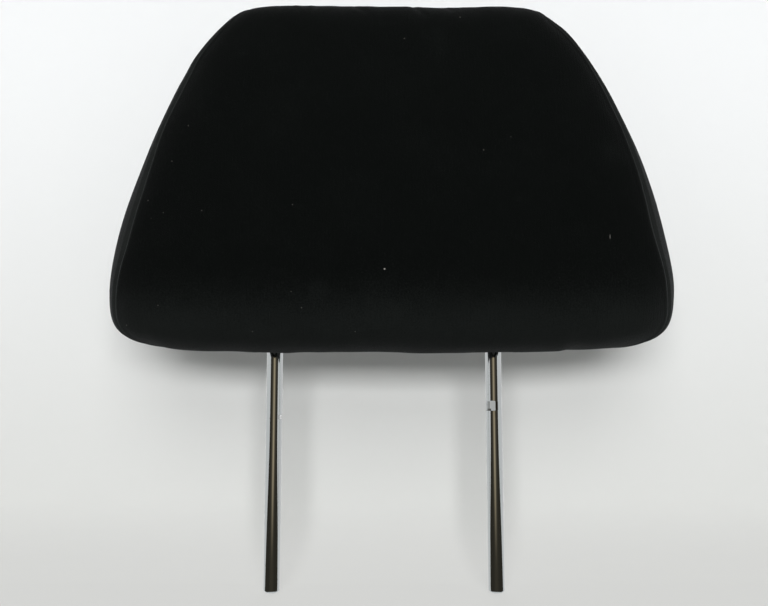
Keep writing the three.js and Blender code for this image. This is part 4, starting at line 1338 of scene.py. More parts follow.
@dataclass
class BentRod:
    """The chromed rod: up one post, across the bar and down the other, with its notch and nick."""

    diameter: float = 10.0
    post_x: float = 69.0
    bar_height: float = 250.0
    bend_radius: float = 22.0
    tip_chamfer: float = 1.6
    tip_ring: float = 4.0
    notch_height: float = 113.5
    notch_length: float = 6.2
    notch_depth: float = 2.4
    notch_turn: float = 215.0
    nick_height: float = 106.5
    nick_length: float = 2.6
    nick_depth: float = 1.1
    pin_hole: float = 3.6
    sides: int = 64
    bend_steps: int = 18
    nick_margin: float = 4.0
    notch_margin: float = 8.0
    smooth_degrees: float = 38.0

    def draw_rod(self) -> bpy.types.Object:
        """Draw the round section along the rod and close both tips."""
        radius = self.diameter / 2 * MM
        bend_x, bend_z = self.post_x - self.bend_radius, self.bar_height - self.bend_radius
        deselect_all()
        bpy.ops.mesh.primitive_circle_add(
            vertices=self.sides, radius=radius, fill_type="NOTHING", location=(-self.post_x * MM, 0, 0)
        )
        rod = bpy.context.object
        rod.name = "chromed_rod"
        start_shaping(rod)
        nick, notch = self.nick_height, self.notch_height
        up = [0, self.tip_ring, nick - self.nick_margin, nick + self.nick_margin, bend_z]
        down = [bend_z, notch + self.notch_margin, notch - self.notch_margin, self.tip_ring, 0]
        for rise in np.diff(up):
            extrude_by((0, 0, rise))
        self.turn_corner((-bend_x, bend_z))
        extrude_by((bend_x, 0, 0))
        extrude_by((bend_x, 0, 0))
        self.turn_corner((bend_x, bend_z))
        for drop in np.diff(down):
            extrude_by((0, 0, drop))
        for sign in (-1, 1):
            select_places(rod, lambda p: p.z < HAIR and p.x * sign > 0)
            bpy.ops.mesh.edge_face_add()
            bpy.ops.mesh.bevel(offset=self.tip_chamfer * MM, segments=3, profile=0.38, affect="EDGES")
        bpy.ops.object.mode_set(mode="OBJECT")
        seat_at_origin(rod)
        tidy_mesh(rod)
        return rod

    def turn_corner(self, centre: tuple[float, float]) -> None:
        """Spin the open end through a right angle about a centre in X and Z."""
        bpy.ops.mesh.spin(
            steps=self.bend_steps,
            angle=math.radians(90),
            center=(centre[0] * MM, 0, centre[1] * MM),
            axis=(0, -1, 0),
        )

    def notch_cutter(
        self, x: float, height: float, length: float, depth: float, turn: float
    ) -> bpy.types.Object:
        """A block that leaves a flat floored notch in a post.

        Args:
            x: the post's place.
            height: the notch's middle.
            length: how long it is along the post.
            depth: how deep it is cut.
            turn: the side that it faces, in degrees from +X.

        Returns:
            The block in its place.
        """
        deselect_all()
        bpy.ops.mesh.primitive_cube_add(size=1)
        cutter = bpy.context.object
        reach = self.diameter
        place = (
            Matrix.Translation((x * MM, 0, height * MM))
            @ Matrix.Rotation(math.radians(turn), 4, "Z")
            @ Matrix.Translation(((self.diameter / 2 - depth + reach / 2) * MM, 0, 0))
            @ Matrix.Diagonal((reach * MM, reach * 2 * MM, length * MM, 1))
        )
        seat_at_origin(cutter, place)
        finish_modifier(cutter, "BEVEL", width=0.5 * MM, segments=3, limit_method="NONE")
        return cutter

    def build(self, finish: bpy.types.Material) -> None:
        """Make the rod with its cuts and dress it."""
        rod = self.draw_rod()
        for cut in (
            (self.post_x, self.notch_height, self.notch_length, self.notch_depth, self.notch_turn),
            (-self.post_x, self.nick_height, self.nick_length, self.nick_depth, 0),
        ):
            cut_away(rod, self.notch_cutter(*cut))
        deselect_all()
        bpy.ops.mesh.primitive_cylinder_add(
            vertices=32,
            radius=self.pin_hole / 2 * MM,
            depth=self.diameter * 2 * MM,
            location=(0, 0, self.bar_height * MM),
            rotation=(math.radians(90), 0, 0),
        )
        drill = bpy.context.object
        seat_at_origin(drill)
        cut_away(rod, drill)
        limit = math.radians(self.smooth_degrees)
        finish_modifier(rod, "BEVEL", width=0.18 * MM, segments=2, limit_method="ANGLE", angle_limit=limit)
        soften(rod, self.smooth_degrees)
        finish_modifier(rod, "WEIGHTED_NORMAL", keep_sharp=True)
        give_finish(rod, finish)
        enlist(rod, Body.ROD, Slot.CHROMED_STEEL, "post_frame")


@dataclass
class PostBezel:
    """The slotted plastic bezel where a post enters the pad."""

    layout: UndersideLayout
    side: Side

    def build(self, finish: bpy.types.Material) -> None:
        """Model the flange and skirt, round their edges and dress them."""
        layout = self.layout
        name = self.side.name.lower()
        middle_x = self.side.value * layout.post_x
        bottom = layout.sink - layout.flange
        bezel = layout.draw_oval(f"bezel_{name}", middle_x, layout.flange_radius, bottom, 56)
        bpy.ops.mesh.select_mode(type="FACE")
        bpy.ops.mesh.select_all(action="SELECT")
        bpy.ops.mesh.inset(thickness=layout.rim * MM)
        bpy.ops.mesh.inset(thickness=layout.wall * MM)
        bpy.ops.mesh.delete(type="FACE")
        bpy.ops.mesh.select_all(action="SELECT")
        extrude_by((0, 0, layout.flange))
        low, high = layout.slot_centres

        def in_skirt(face: bmesh.types.BMFace) -> bool:
            """Whether a face lies on the top of the inner band."""
            place = bezel.matrix_world @ face.calc_center_median() / MM
            off = place.y - min(max(place.y, low), high)
            from_band = math.hypot(place.x - middle_x, off) - layout.opening - layout.wall / 2
            return abs(from_band) < 0.4 and place.z > bottom + layout.flange * 0.9

        select_faces(bezel, in_skirt)
        extrude_by((0, 0, layout.skirt))
        bpy.ops.object.mode_set(mode="OBJECT")
        seat_at_origin(bezel, layout.place)
        tidy_mesh(bezel)
        limit = math.radians(50)
        finish_modifier(bezel, "BEVEL", width=0.45 * MM, segments=3, limit_method="ANGLE", angle_limit=limit)
        soften(bezel, 45)
        give_finish(bezel, finish)
        enlist(bezel, Body.PAD, Slot.BLACK_PLASTIC, f"post_bezel_{name}")


# Shader work


class Signal:
    """A shader socket whose values Python's operators combine through Math nodes."""

    def __init__(self, book: "ShaderBook", socket: bpy.types.NodeSocket) -> None:
        """Wrap an output socket of a shader book."""
        self.book = book
        self.socket = socket

    def math(self, operation: str, *operands: object) -> "Signal":
        """The result of one Math node."""
        return self.book.signal("ShaderNodeMath", {"operation": operation}, dict(enumerate(operands)))

    def __add__(self, other: object) -> "Signal":
        """Sum."""
        return self.math("ADD", self, other)

    __radd__ = __add__

    def __sub__(self, other: object) -> "Signal":
        """Difference."""
        return self.math("SUBTRACT", self, other)

    def __rsub__(self, other: object) -> "Signal":
        """Difference from a number."""
        return self.math("SUBTRACT", other, self)

    def __mul__(self, other: object) -> "Signal":
        """Product."""
        return self.math("MULTIPLY", self, other)

    __rmul__ = __mul__

    def __truediv__(self, other: object) -> "Signal":
        """Quotient."""
        return self.math("DIVIDE", self, other)

    def __pow__(self, other: object) -> "Signal":
        """Power."""
        return self.math("POWER", self, other)

    def size(self) -> "Signal":
        """Absolute value."""
        return self.math("ABSOLUTE", self)

    def wave(self) -> "Signal":
        """Sine."""
        return self.math("SINE", self)

    def most(self, other: object) -> "Signal":
        """The larger of two values."""
        return self.math("MAXIMUM", self, other)

    def least(self, other: object) -> "Signal":
        """The smaller of two values."""
        return self.math("MINIMUM", self, other)

    def ramp(self, low: float, high: float) -> "Signal":
        """Ease from 0 at one value to 1 at another."""
        settings = {"interpolation_type": "SMOOTHSTEP"}
        inputs = {"Value": self, "From Min": low, "From Max": high}
        return self.book.signal("ShaderNodeMapRange", settings, inputs)


class ShaderBook:
    """The node tree of one material or of the world."""

    def __init__(self, name: str, world: bpy.types.World | None = None) -> None:
        """Start an empty tree, in a new material unless a world is given."""
        self.owner = world or bpy.data.materials.new(name)
        self.owner.use_nodes = True
        self.tree = self.owner.node_tree
        self.tree.nodes.clear()
        self.output = self.tree.nodes.new("ShaderNodeOutputWorld" if world else "ShaderNodeOutputMaterial")

    def node(self, kind: str, settings: dict[str, object], inputs: dict[object, object]) -> bpy.types.Node:
        """Add a node.

        Args:
            kind: the node's type.
            settings: its properties, set first.
            inputs: values, colours, signals, sockets or nodes for its inputs by name or number.

        Returns:
            The new node.
        """
        made = self.tree.nodes.new(kind)
        set_all(made, settings)
        for key, value in inputs.items():
            target = made.inputs[key]
            if isinstance(value, Signal):
                value = value.socket
            if isinstance(value, bpy.types.Node):
                value = value.outputs[0]
            if isinstance(value, bpy.types.NodeSocket):
                self.tree.links.new(value, target)
            else:
                target.default_value = (*value, 1) if target.type == "RGBA" else value
        return made

    def finish(self, surface: bpy.types.Node) -> bpy.types.ID:
        """End the tree in a surface and give its material or world back."""
        self.tree.links.new(surface.outputs[0], self.output.inputs["Surface"])
        return self.owner

    def signal(self, kind: str, settings: dict[str, object], inputs: dict[object, object]) -> Signal:
        """Add a node and take its first output."""
        return Signal(self, self.node(kind, settings, inputs).outputs[0])

    def place(self) -> bpy.types.NodeSocket:
        """Object coordinates."""
        return self.node("ShaderNodeTexCoord", {}, {}).outputs["Object"]

    def chart(self, name: str) -> bpy.types.NodeSocket:
        """One of the piece's own UV maps."""
        return self.node("ShaderNodeUVMap", {"uv_map": name}, {}).outputs["UV"]

    def scaled(self, place: object, factors: Sequence[float]) -> bpy.types.NodeSocket:
        """A place with each axis multiplied."""
        settings = {"operation": "MULTIPLY"}
        return self.node("ShaderNodeVectorMath", settings, {0: place, 1: tuple(factors)}).outputs[0]

    def noise(self, place: object, scale: float, detail: float = 2.0, roughness: float = 0.5) -> Signal:
        """Noise values about 0.5 at a scale in waves for each metre."""
        inputs = {"Vector": place, "Scale": scale, "Detail": detail, "Roughness": roughness}
        return self.signal("ShaderNodeTexNoise", {}, inputs)

    def axes(self, place: object) -> tuple[Signal, Signal, Signal]:
        """The three numbers of a place."""
        outputs = self.node("ShaderNodeSeparateXYZ", {}, {0: place}).outputs
        return tuple(Signal(self, socket) for socket in outputs)

    def mix(self, share: object, first: object, second: object) -> bpy.types.NodeSocket:
        """A colour between two colours."""
        made = self.node("ShaderNodeMix", {"data_type": "RGBA"}, {0: share, 6: first, 7: second})
        return made.outputs[2]

    def bump(self, height: Signal, distance: float, strength: float = 1.0) -> bpy.types.NodeSocket:
        """A normal raised by a height, with its full distance in metres."""
        inputs = {"Height": height, "Distance": distance, "Strength": strength}
        return self.node("ShaderNodeBump", {}, inputs).outputs[0]

    def principled(self, inputs: dict[object, object]) -> bpy.types.Material:
        """End the tree in a Principled surface and give the material back."""
        return self.finish(self.node("ShaderNodeBsdfPrincipled", {}, inputs))


def strongest(marks: Sequence[Signal]) -> Signal:
    """The largest of several marks at each place."""
    return reduce(Signal.most, marks)


@dataclass(frozen=True)
class Lint:
    """One fleck of lint on the front, placed in millimetres of the part's frame."""

    x: float
    z: float
    size: float
    brightness: float
    tall: float = 1.0


@dataclass(frozen=True)
class VelourFinish:
    """Black velour: short pile in faint upright ribs, nap patches, stray lint, painted light low down,
    painted seam highlights.
    """

    pile: Colour = (0.0022, 0.0027, 0.0025)
    # The lighter pile, for the nap patches and for the painted light low on the front.
    brushed_and_lit_pile: Colour = (0.0080, 0.0093, 0.0088)
    fleck: Colour = (0.30, 0.29, 0.27)
    # The colour of the painted highlight along the seams.
    seam_highlight: Colour = (0.026, 0.0285, 0.0275)
    sheen_tint: Colour = (0.94, 0.97, 1.0)
    rib_pitch: float = 1.9
    sheen: float = 0.05
    sheen_roughness: float = 0.32
    lint: tuple[Lint, ...] = (
        Lint(0.3, 189.0, 0.62, 1.0, 0.7),
        Lint(43.5, 335.0, 0.35, 0.5),
        Lint(11.5, 320.0, 0.3, 0.4),
        Lint(-125.6, 170.0, 0.3, 0.4),
        Lint(-147.0, 160.0, 0.35, 0.35),
        Lint(-73.0, 155.5, 0.3, 0.35),
        Lint(-16.0, 155.5, 0.3, 0.4),
        Lint(-51.0, 177.0, 0.3, 0.3),
        Lint(125.0, 207.5, 0.28, 0.32, 6.0),
        Lint(-110.0, 271.0, 0.3, 0.4),
        Lint(-119.0, 251.0, 0.3, 0.4),
        Lint(-133.0, 229.5, 0.3, 0.45),
        Lint(-123.0, 221.5, 0.3, 0.5),
        Lint(-50.0, 224.0, 0.3, 0.45),
    )
    smudges: tuple[Lint, ...] = (
        Lint(128.0, 256.0, 15.0, 0.32),
        Lint(-36.0, 178.0, 9.0, 0.24),
        Lint(31.0, 318.0, 10.0, 0.18, 1.8),
        Lint(73.0, 227.0, 6.0, 0.26, 0.6),
        Lint(-46.0, 223.0, 5.0, 0.3, 0.5),
        Lint(-80.0, 311.0, 5.0, 0.25, 0.6),
        Lint(0.0, 330.0, 9.0, 0.2, 0.5),
    )

    def build(self) -> bpy.types.Material:
        """Make the material."""
        book = ShaderBook("black_velour_pile")
        cloth = book.chart("ClothMap")
        place = book.place()
        across, _, _ = book.axes(cloth)
        drift = book.noise(cloth, 60, 2) * 1.6
        ribs = (across * (2 * math.pi / (self.rib_pitch * MM)) + drift).wave() * 0.5 + 0.5
        fuzz = book.noise(place, 1500, 4, 0.7)
        streaks = book.noise(book.scaled(cloth, (1, 0.16, 1)), 900, 3, 0.6)
        patches = book.noise(place, 26, 3, 0.55).ramp(0.45, 0.72)
        mottle = book.noise(place, 140, 3, 0.6)
        grain = book.noise(cloth, 1100, 3, 0.75)
        x, _, z = book.axes(place)
        # Painted light: the pile is mixed lighter towards the lower edge of the front, most at its lower
        # corners, standing in for light from below.
        lower = (1 - (z / MM).ramp(146.0, 197.0)) * (1.05 + 0.3 * (x / MM).size().ramp(95.0, 150.0))
        uneven = patches * 0.16 + mottle * 0.3 + streaks * 0.4 + (grain - 0.5) * 3.2
        nap_and_lower_light = self.marks(book, place, self.smudges) + uneven + lower + ribs * 0.06 - 0.5
        colour = book.mix(nap_and_lower_light.most(0.0).least(1.0), self.pile, self.brushed_and_lit_pile)
        # Painted highlight on the ridges beside the seams and on the gussets next to them.
        colour = book.mix(self.seam_highlight_share(book, place), colour, self.seam_highlight)
        colour = book.mix(self.dust(book, place), colour, self.fleck)
        height = fuzz * 0.5 + streaks * 0.35 + ribs * 0.035
        return book.principled({
            "Base Color": colour,
            "Roughness": 0.86 + 0.12 * fuzz,
            "Specular IOR Level": 0.06,
            "Sheen Weight": self.sheen,
            "Sheen Roughness": self.sheen_roughness,
            "Sheen Tint": self.sheen_tint,
            "Normal": book.bump(height, 0.00045),
        })

    @staticmethod
    def seam_highlight_share(book: ShaderBook, place: object) -> Signal:
        """How much painted highlight the pile takes: on the ridge beside a seam, where its rolled edge
        catches light, and on the gussets next to it.
        """
        away, gusset, _ = book.axes(book.chart("SeamMap"))
        seam = away / MM
        ridge = (1 - (seam - 2.4).size().ramp(0.2, 2.4)) * 0.5 * (1 - gusset)
        beside = (1 - seam.ramp(0.5, 9.0)) * 0.17
        broad = gusset * (1 - seam.ramp(9.0, 26.0)) * 0.26
        return (ridge + beside + broad) * (0.55 + 0.9 * book.noise(place, 420, 3, 0.6))

    def dust(self, book: ShaderBook, place: object) -> Signal:
        """Where lint lies: the named flecks and a sparse scatter of specks."""
        cells = book.node("ShaderNodeTexVoronoi", {}, {"Vector": place, "Scale": 70.0})
        pick = book.axes(cells.outputs["Color"])[0]
        speck = Signal(book, cells.outputs["Distance"])
        scatter = (1 - speck.ramp(0.012, 0.03)) * pick.ramp(0.72, 0.76) * 0.35
        return scatter.most(self.marks(book, place, self.lint, 0.5))

    @staticmethod
    def marks(book: ShaderBook, place: object, flecks: tuple[Lint, ...], core: float = 0.0) -> Signal:
        """Round marks on the pad's front.

        Args:
            book: the material's tree.
            place: Object coordinates.
            flecks: the marks.
            core: the share of its size within which each is full.

        Returns:
            The strongest of them at each place.
        """
        x, y, z = book.axes(place)
        marks = []
        for fleck in flecks:
            away = ((x - fleck.x * MM) ** 2 + ((z - fleck.z * MM) / fleck.tall) ** 2) ** 0.5
            marks.append((1 - away.ramp(fleck.size * MM * core, fleck.size * MM)) * fleck.brightness)
        return strongest(marks) * (1 - (y / MM).ramp(-30.0, -20.0))


@dataclass(frozen=True)
class Spot:
    """An oblong mark on the front of a post, placed in millimetres of the part's frame."""

    x: float
    z: float
    half_width: float
    half_height: float
    strength: float


@dataclass(frozen=True)
class ChromeFinish:
    """Bright chrome plate with fine wiping marks, duller spots where the posts slide and painted shade in the
    notch's corners.
    """

    metal: Colour = (0.515, 0.54, 0.535)
    worn: Colour = (0.27, 0.27, 0.25)
    roughness: float = 0.045
    # The colour of the painted shade in the notch.
    notch_shade: Colour = (0.06, 0.06, 0.052)
    cuts: tuple[Spot, ...] = (Spot(65.5, 113.5, 4.2, 3.0, 0.35), Spot(-64.6, 106.5, 1.6, 1.5, 0.35))
    # Painted shade: dark spots in the notch's corners and along its lower wall.
    corners: tuple[Spot, ...] = (
        Spot(65.4, 113.5, 1.1, 2.9, 0.45),
        Spot(65.2, 111.0, 2.0, 0.7, 0.9),
        Spot(70.3, 113.5, 0.9, 2.9, 0.5),
    )

    def build(self) -> bpy.types.Material:
        """Make the material."""
        book = ShaderBook("chrome_plate")
        place = book.place()
        _, _, z = book.axes(place)
        wiping = book.noise(book.scaled(place, (1, 1, 0.06)), 2600, 3, 0.6)
        haze = book.noise(place, 55, 3, 0.6).ramp(0.42, 0.75)
        specks = book.noise(place, 420, 2, 0.5).ramp(0.66, 0.74)
        sliding = 1 - (z / MM).ramp(6.0, 42.0)
        wear = (specks * (0.25 + 0.5 * sliding) + self.marks(book, place, self.cuts)).least(1.0)
        plate = book.mix(wear, self.metal, self.worn)
        return book.principled({
            # Painted shade in the notch, mixed over the plate.
            "Base Color": book.mix(self.marks(book, place, self.corners), plate, self.notch_shade),
            "Metallic": 1.0,
            "Roughness": self.roughness + 0.05 * haze + 0.18 * wear + 0.02 * wiping,
            "Normal": book.bump(wiping * 0.5 + specks * 0.3, 0.00001, 0.35),
        })

    @staticmethod
    def marks(book: ShaderBook, place: object, spots: tuple[Spot, ...]) -> Signal:
        """Oblong marks with soft borders on the posts' front.

        Args:
            book: the material's tree.
            place: Object coordinates.
            spots: the marks.

        Returns:
            The strongest of them at each place.
        """
        full = 0.85
        x, y, z = (axis / MM for axis in book.axes(place))
        marks = []
        for spot in spots:
            across = 1 - (x - spot.x).size().ramp(spot.half_width * full, spot.half_width)
            along = 1 - (z - spot.z).size().ramp(spot.half_height * full, spot.half_height)
            marks.append(across * along * spot.strength)
        return strongest(marks) * (1 - y.ramp(0.0, 2.0))


@dataclass(frozen=True)
class SteelFinish:
    """Zinc bright steel with a fine grain, as on screws, clips and pins."""

    metal: Colour = (0.56, 0.56, 0.57)
    stain: Colour = (0.38, 0.36, 0.32)

    def build(self) -> bpy.types.Material:
        """Make the material."""
        book = ShaderBook("bright_steel_grain")
        place = book.place()
        grain = book.noise(book.scaled(place, (1, 0.12, 1)), 3200, 4, 0.6)
        cloud = book.noise(place, 160, 3, 0.6).ramp(0.4, 0.75)
        return book.principled({
            "Base Color": book.mix(cloud * 0.5, self.metal, self.stain),
            "Metallic": 1.0,
            "Roughness": 0.26 + 0.16 * grain + 0.1 * cloud,
            "Normal": book.bump(grain, 0.00003, 0.5),
        })


@dataclass(frozen=True)
class MouldedPlasticFinish:
    """Moulded plastic with a fine spark grain and slightly polished edges."""

    name: str
    colour: Colour
    lighter: Colour
    roughness: float = 0.48

    def build(self) -> bpy.types.Material:
        """Make the material."""
        book = ShaderBook(self.name)
        place = book.place()
        grain = book.noise(place, 2100, 3, 0.55)
        cloud = book.noise(place, 90, 3, 0.6)
        scuffs = book.noise(book.scaled(place, (1, 0.2, 1)), 500, 3, 0.7).ramp(0.62, 0.8)
        return book.principled({
            "Base Color": book.mix(cloud * 0.5 + scuffs * 0.4, self.colour, self.lighter),
            "Roughness": self.roughness + 0.14 * grain - 0.08 * scuffs,
            "Normal": book.bump(grain * 0.8 + scuffs * 0.2, 0.00006, 0.8),
        })


@dataclass(frozen=True)
class FoamFinish:
    """Cream moulded foam: a fine open skin of cells with broken bubbles, with painted shade in the cells and
    bubbles.
    """

    skin: Colour = (0.70, 0.63, 0.43)
    # The colour of the painted shade in the open cells and bubbles.
    cell: Colour = (0.42, 0.35, 0.19)

    def build(self) -> bpy.types.Material:
        """Make the material."""
        book = ShaderBook("moulded_foam_cells")
        place = book.place()
        cells = book.signal("ShaderNodeTexVoronoi", {}, {"Vector": place, "Scale": 620.0})
        bubbles = book.signal("ShaderNodeTexVoronoi", {}, {"Vector": place, "Scale": 130.0})
        open_cell = 1 - cells.ramp(0.1, 0.45)
        bubble = 1 - bubbles.ramp(0.12, 0.2)
        age = book.noise(place, 22, 3, 0.6)
        # Painted shade in the open cells and bubbles, with a random tone of age over it.
        cell_shade_and_age = (open_cell * 0.45 + bubble * 0.6 + age * 0.3 - 0.1).least(1.0).most(0.0)
        return book.principled({
            "Base Color": book.mix(cell_shade_and_age, self.skin, self.cell),
            "Roughness": 0.86 + 0.1 * open_cell,
            "Normal": book.bump(1 - open_cell * 0.5 - bubble, 0.0004),
        })


# Carried over nodes


@dataclass
class InnerWorks:
    """The carrier, bearings, clips, screws and hook profiles, which keep their shapes."""

    steel: bpy.types.Material
    black: bpy.types.Material
    pale: bpy.types.Material

    def dress(self, nodes: dict[str, bpy.types.Object]) -> None:
        """Give each carried over node its finish."""
        finishes = {
            "carrier_screw": self.steel, "carrier": self.black, "pivot_bush": self.pale,
            "friction_clip": self.steel, "clip_screw": self.steel, "stop_collar": self.steel,
            "collar_pin": self.steel, "closure_hook": self.black,
        }
        for name, node in nodes.items():
            for start, finish in finishes.items():
                if name.startswith(start):
                    give_finish(node, finish)
                    LOG.info("%s keeps its shape with %s", name, finish.name)
                    break


# Studio


@dataclass
class Studio:
    """A pale floor with a pale sweep behind the headrest, soft lamps and the camera."""

    camera_place: tuple[float, float, float] = (0.0, -506.7, 123.3)
    camera_rise: float = 6.2
    lens: float = 37.5
    sweep_behind: float = 62.0
    sweep_radius: float = 45.0
    sweep_half_width: float = 420.0
    sweep_height: float = 560.0
    # Painted shade: the paper runs from a darker tone at the floor to a lighter one high up, for light
    # falling off downwards.
    paper_shaded_low: Colour = (0.66, 0.665, 0.65)
    paper_lit_high: Colour = (0.83, 0.84, 0.845)
    fibre: Colour = (0.9, 0.9, 0.9)
    flat_share: float = 0.8
    flag_radius: float = 0.65
    flag_heights: tuple[float, ...] = (-0.16, -0.12, -0.06, -0.005, 0.05, 0.11)
    flag_half_turns: tuple[float, ...] = (100.0, 95.0, 83.0, 68.0, 57.0, 54.0)
    # Painted reflection: the flag glows near black with a warm band in its middle, seen only in the chrome.
    dark_reflection_glow: Colour = (0.040, 0.036, 0.028)
    warm_reflection_glow: Colour = (0.58, 0.48, 0.33)
    surround: Colour = (0.80, 0.81, 0.83)
    surround_seen: Colour = (0.86, 0.86, 0.87)
    surround_strength: float = 0.12

    def build(self) -> None:
        """Set the floor, sweep, flag, lamps, world and camera, and show colours as they are written."""
        bpy.context.scene.view_settings.view_transform = "Standard"
        paper = self.paper_finish()
        self.lay_floor(paper)
        self.hang_sweep(paper)
        self.set_flag()
        self.light()
        self.set_world()
        self.set_camera()

    def paper_finish(self) -> bpy.types.Material:
        """Matt pale paper, clear from behind, painted darker low down, that keeps its tone to the lens where
        it lies flat.
        """
        book = ShaderBook("pale_paper")
        place = book.place()
        _, _, z = book.axes(place)
        fibre = book.noise(place, 240, 2, 0.5)
        # Painted shade: the tone darkens towards the floor.
        height = (z / MM).ramp(-40.0, 400.0)
        tone = book.mix(height, self.paper_shaded_low, self.paper_lit_high)
        tone = book.mix(fibre * 0.03, tone, self.fibre)
        paper = book.node("ShaderNodeBsdfDiffuse", {}, {"Color": tone, "Roughness": 0.6})
        glow = book.node("ShaderNodeEmission", {}, {"Color": self.paper_shaded_low})
        seen = Signal(book, book.node("ShaderNodeLightPath", {}, {}).outputs["Is Camera Ray"])
        lying = 1 - (z / MM).ramp(0.0, self.sweep_radius * 1.2)
        share = seen * lying * self.flat_share
        surface = book.node("ShaderNodeMixShader", {}, {0: share, 1: paper, 2: glow})
        clear = book.node("ShaderNodeBsdfTransparent", {}, {})
        behind = book.node("ShaderNodeNewGeometry", {}, {}).outputs["Backfacing"]
        return book.finish(book.node("ShaderNodeMixShader", {}, {0: behind, 1: surface, 2: clear}))

    def lay_floor(self, paper: bpy.types.Material) -> None:
        """A wide floor just under the posts' tips."""
        deselect_all()
        bpy.ops.mesh.primitive_plane_add(size=6, location=(0, 0, -0.0006))
        floor = bpy.context.object
        floor.name = "studio_floor"
        give_finish(floor, paper)
        floor.visible_glossy = False

    def hang_sweep(self, paper: bpy.types.Material) -> None:
        """Paper that runs from the floor up behind the headrest."""
        start, steps = -260.0, 14
        turns = np.linspace(0, math.pi / 2, steps + 1)
        y0, r = self.sweep_behind - self.sweep_radius, self.sweep_radius
        line = [(start, 0.0)] + [(y0 + r * math.sin(a), r * (1 - math.cos(a))) for a in turns]
        line.append((self.sweep_behind, self.sweep_height))
        half = self.sweep_half_width
        points = np.array([(x, y, z) for y, z in line for x in (-half, half)])
        faces = [(2 * i, 2 * i + 1, 2 * i + 3, 2 * i + 2) for i in range(len(line) - 1)]
        sweep = mesh_object("studio_sweep", points, faces)
        give_finish(sweep, paper)
        sweep.visible_glossy = False
        sweep.visible_shadow = False

    def set_flag(self) -> None:
        """A dark glowing card curved round the front, wider low down, seen only in the chrome as a painted
        reflection with a warm middle.
        """
        heights = np.linspace(-0.8, 0.42, 62)
        half_turn = np.interp(heights, self.flag_heights, self.flag_half_turns)
        turns = np.radians(half_turn[:, None] * np.linspace(-1, 1, 41)[None, :])
        level = np.repeat(heights[:, None], turns.shape[1], 1)
        places = np.stack([np.sin(turns), -np.cos(turns), level / self.flag_radius], axis=-1)
        points = places.reshape(-1, 3) * self.flag_radius / MM
        flag = mesh_object("studio_flag", points, grid_faces(*turns.shape))
        book = ShaderBook("flag_reflection_glow")
        x, _, z = book.axes(book.place())
        # Painted reflection: a warm glow in the card's middle that fades sideways and low down.
        warm = (1 - x.size().ramp(-0.08, 0.25)) * z.ramp(-0.13, 0.03)
        warm = warm + (1 - x.size().ramp(0.10, 0.45)) * (0.035 + 0.1 * z.ramp(-0.12, 0.05))
        glow = {"Color": book.mix(warm, self.dark_reflection_glow, self.warm_reflection_glow), "Strength": 1.0}
        give_finish(flag, book.finish(book.node("ShaderNodeEmission", {}, glow)))
        for ray in ("camera", "diffuse", "shadow", "transmission"):
            setattr(flag, f"visible_{ray}", False)

    @staticmethod
    def lamp(
        name: str, place: Sequence[float], size: tuple[float, float], power: float, target: Sequence[float]
    ) -> None:
        """Hang a soft lamp.

        Args:
            name: the lamp's name.
            place: where it hangs, in metres.
            size: its width and height.
            power: its power in watts.
            target: the point that it is aimed at.
        """
        light = bpy.data.lights.new(name, "AREA")
        light.shape = "RECTANGLE"
        light.size, light.size_y = size
        light.energy = power
        lamp = bpy.data.objects.new(name, light)
        lamp.location = place
        way = Vector(target) - Vector(place)
        lamp.rotation_mode = "QUATERNION"
        lamp.rotation_quaternion = way.to_track_quat("-Z", "Y")
        lamp.visible_glossy = False
        bpy.context.scene.collection.objects.link(lamp)

    def light(self) -> None:
        """A broad lamp above the front and fills at the sides and behind."""
        centre = (0.0, 0.0, 0.15)
        self.lamp("lamp_front", (0.0, -1.9, 0.38), (1.3, 0.34), 27.0, centre)
        self.lamp("lamp_high", (0.0, -1.7, 1.1), (1.2, 0.8), 10.0, centre)
        self.lamp("lamp_left", (-1.5, -0.5, 1.5), (0.9, 0.9), 4.0, centre)
        self.lamp("lamp_right", (1.5, -0.5, 1.5), (0.9, 0.9), 4.0, centre)
        self.lamp("lamp_behind", (0.0, 1.6, 1.1), (0.9, 0.9), 16.0, centre)

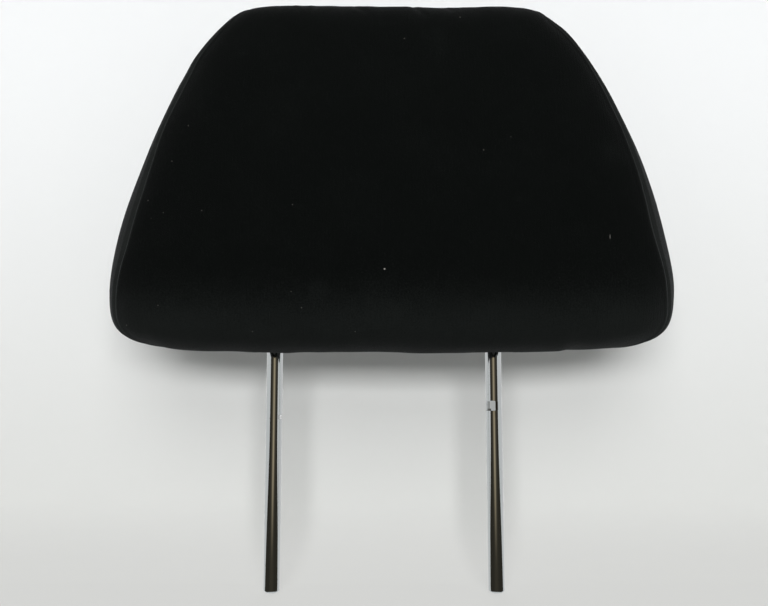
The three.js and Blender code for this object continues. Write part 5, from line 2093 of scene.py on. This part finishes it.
    def set_world(self) -> None:
        """A pale surround that is white to the lens and in the chrome, and gentle as light."""
        world = bpy.context.scene.world or bpy.data.worlds.new("surround")
        bpy.context.scene.world = world
        book = ShaderBook("surround", world)
        path = book.node("ShaderNodeLightPath", {}, {}).outputs
        rays = [Signal(book, path[f"Is {ray} Ray"]) for ray in ("Camera", "Glossy", "Transmission")]
        gentle = {"Color": self.surround, "Strength": self.surround_strength}
        book.finish(book.node("ShaderNodeMixShader", {}, {
            0: strongest(rays),
            1: book.node("ShaderNodeBackground", {}, gentle),
            2: book.node("ShaderNodeBackground", {}, {"Color": self.surround_seen}),
        }))

    def set_camera(self) -> None:
        """The camera in front of the posts, looking slightly up and square to the pad's face."""
        data = bpy.data.cameras.new("camera")
        set_all(data, {"lens": self.lens, "sensor_width": 36.0, "clip_start": 0.02, "clip_end": 50.0})
        camera = bpy.data.objects.new("camera", data)
        camera.location = [v * MM for v in self.camera_place]
        camera.rotation_euler = (math.radians(90 + self.camera_rise), 0, 0)
        bpy.context.scene.collection.objects.link(camera)
        bpy.context.scene.camera = camera


def main() -> None:
    """Build the headrest's dressed pieces, dress its hidden nodes and set the studio."""
    logging.basicConfig(level=logging.INFO, format="%(name)s: %(message)s")
    Studio().build()
    form = PadForm()
    layout = UndersideLayout(form)
    velour = VelourFinish().build()
    chrome = ChromeFinish().build()
    steel = SteelFinish().build()
    black = MouldedPlasticFinish("black_plastic_grain", (0.012, 0.012, 0.013), (0.03, 0.03, 0.031)).build()
    pale = MouldedPlasticFinish("pale_plastic_grain", (0.66, 0.65, 0.60), (0.74, 0.73, 0.69)).build()
    foam = FoamFinish().build()

    swelling = CoverSwelling(form, layout)
    swelling.simulate()
    CoverMainPanel(form, layout, swelling).build(velour)
    for side in Side:
        CoverGusset(form, swelling, side).build(velour)
    FoamCore(form, layout).build(foam)
    BentRod().build(chrome)
    for side in Side:
        PostBezel(layout, side).build(black)
    InnerWorks(steel, black, pale).dress(frame["nodes"])
    deselect_all()


if __name__ == "__main__":
    main()
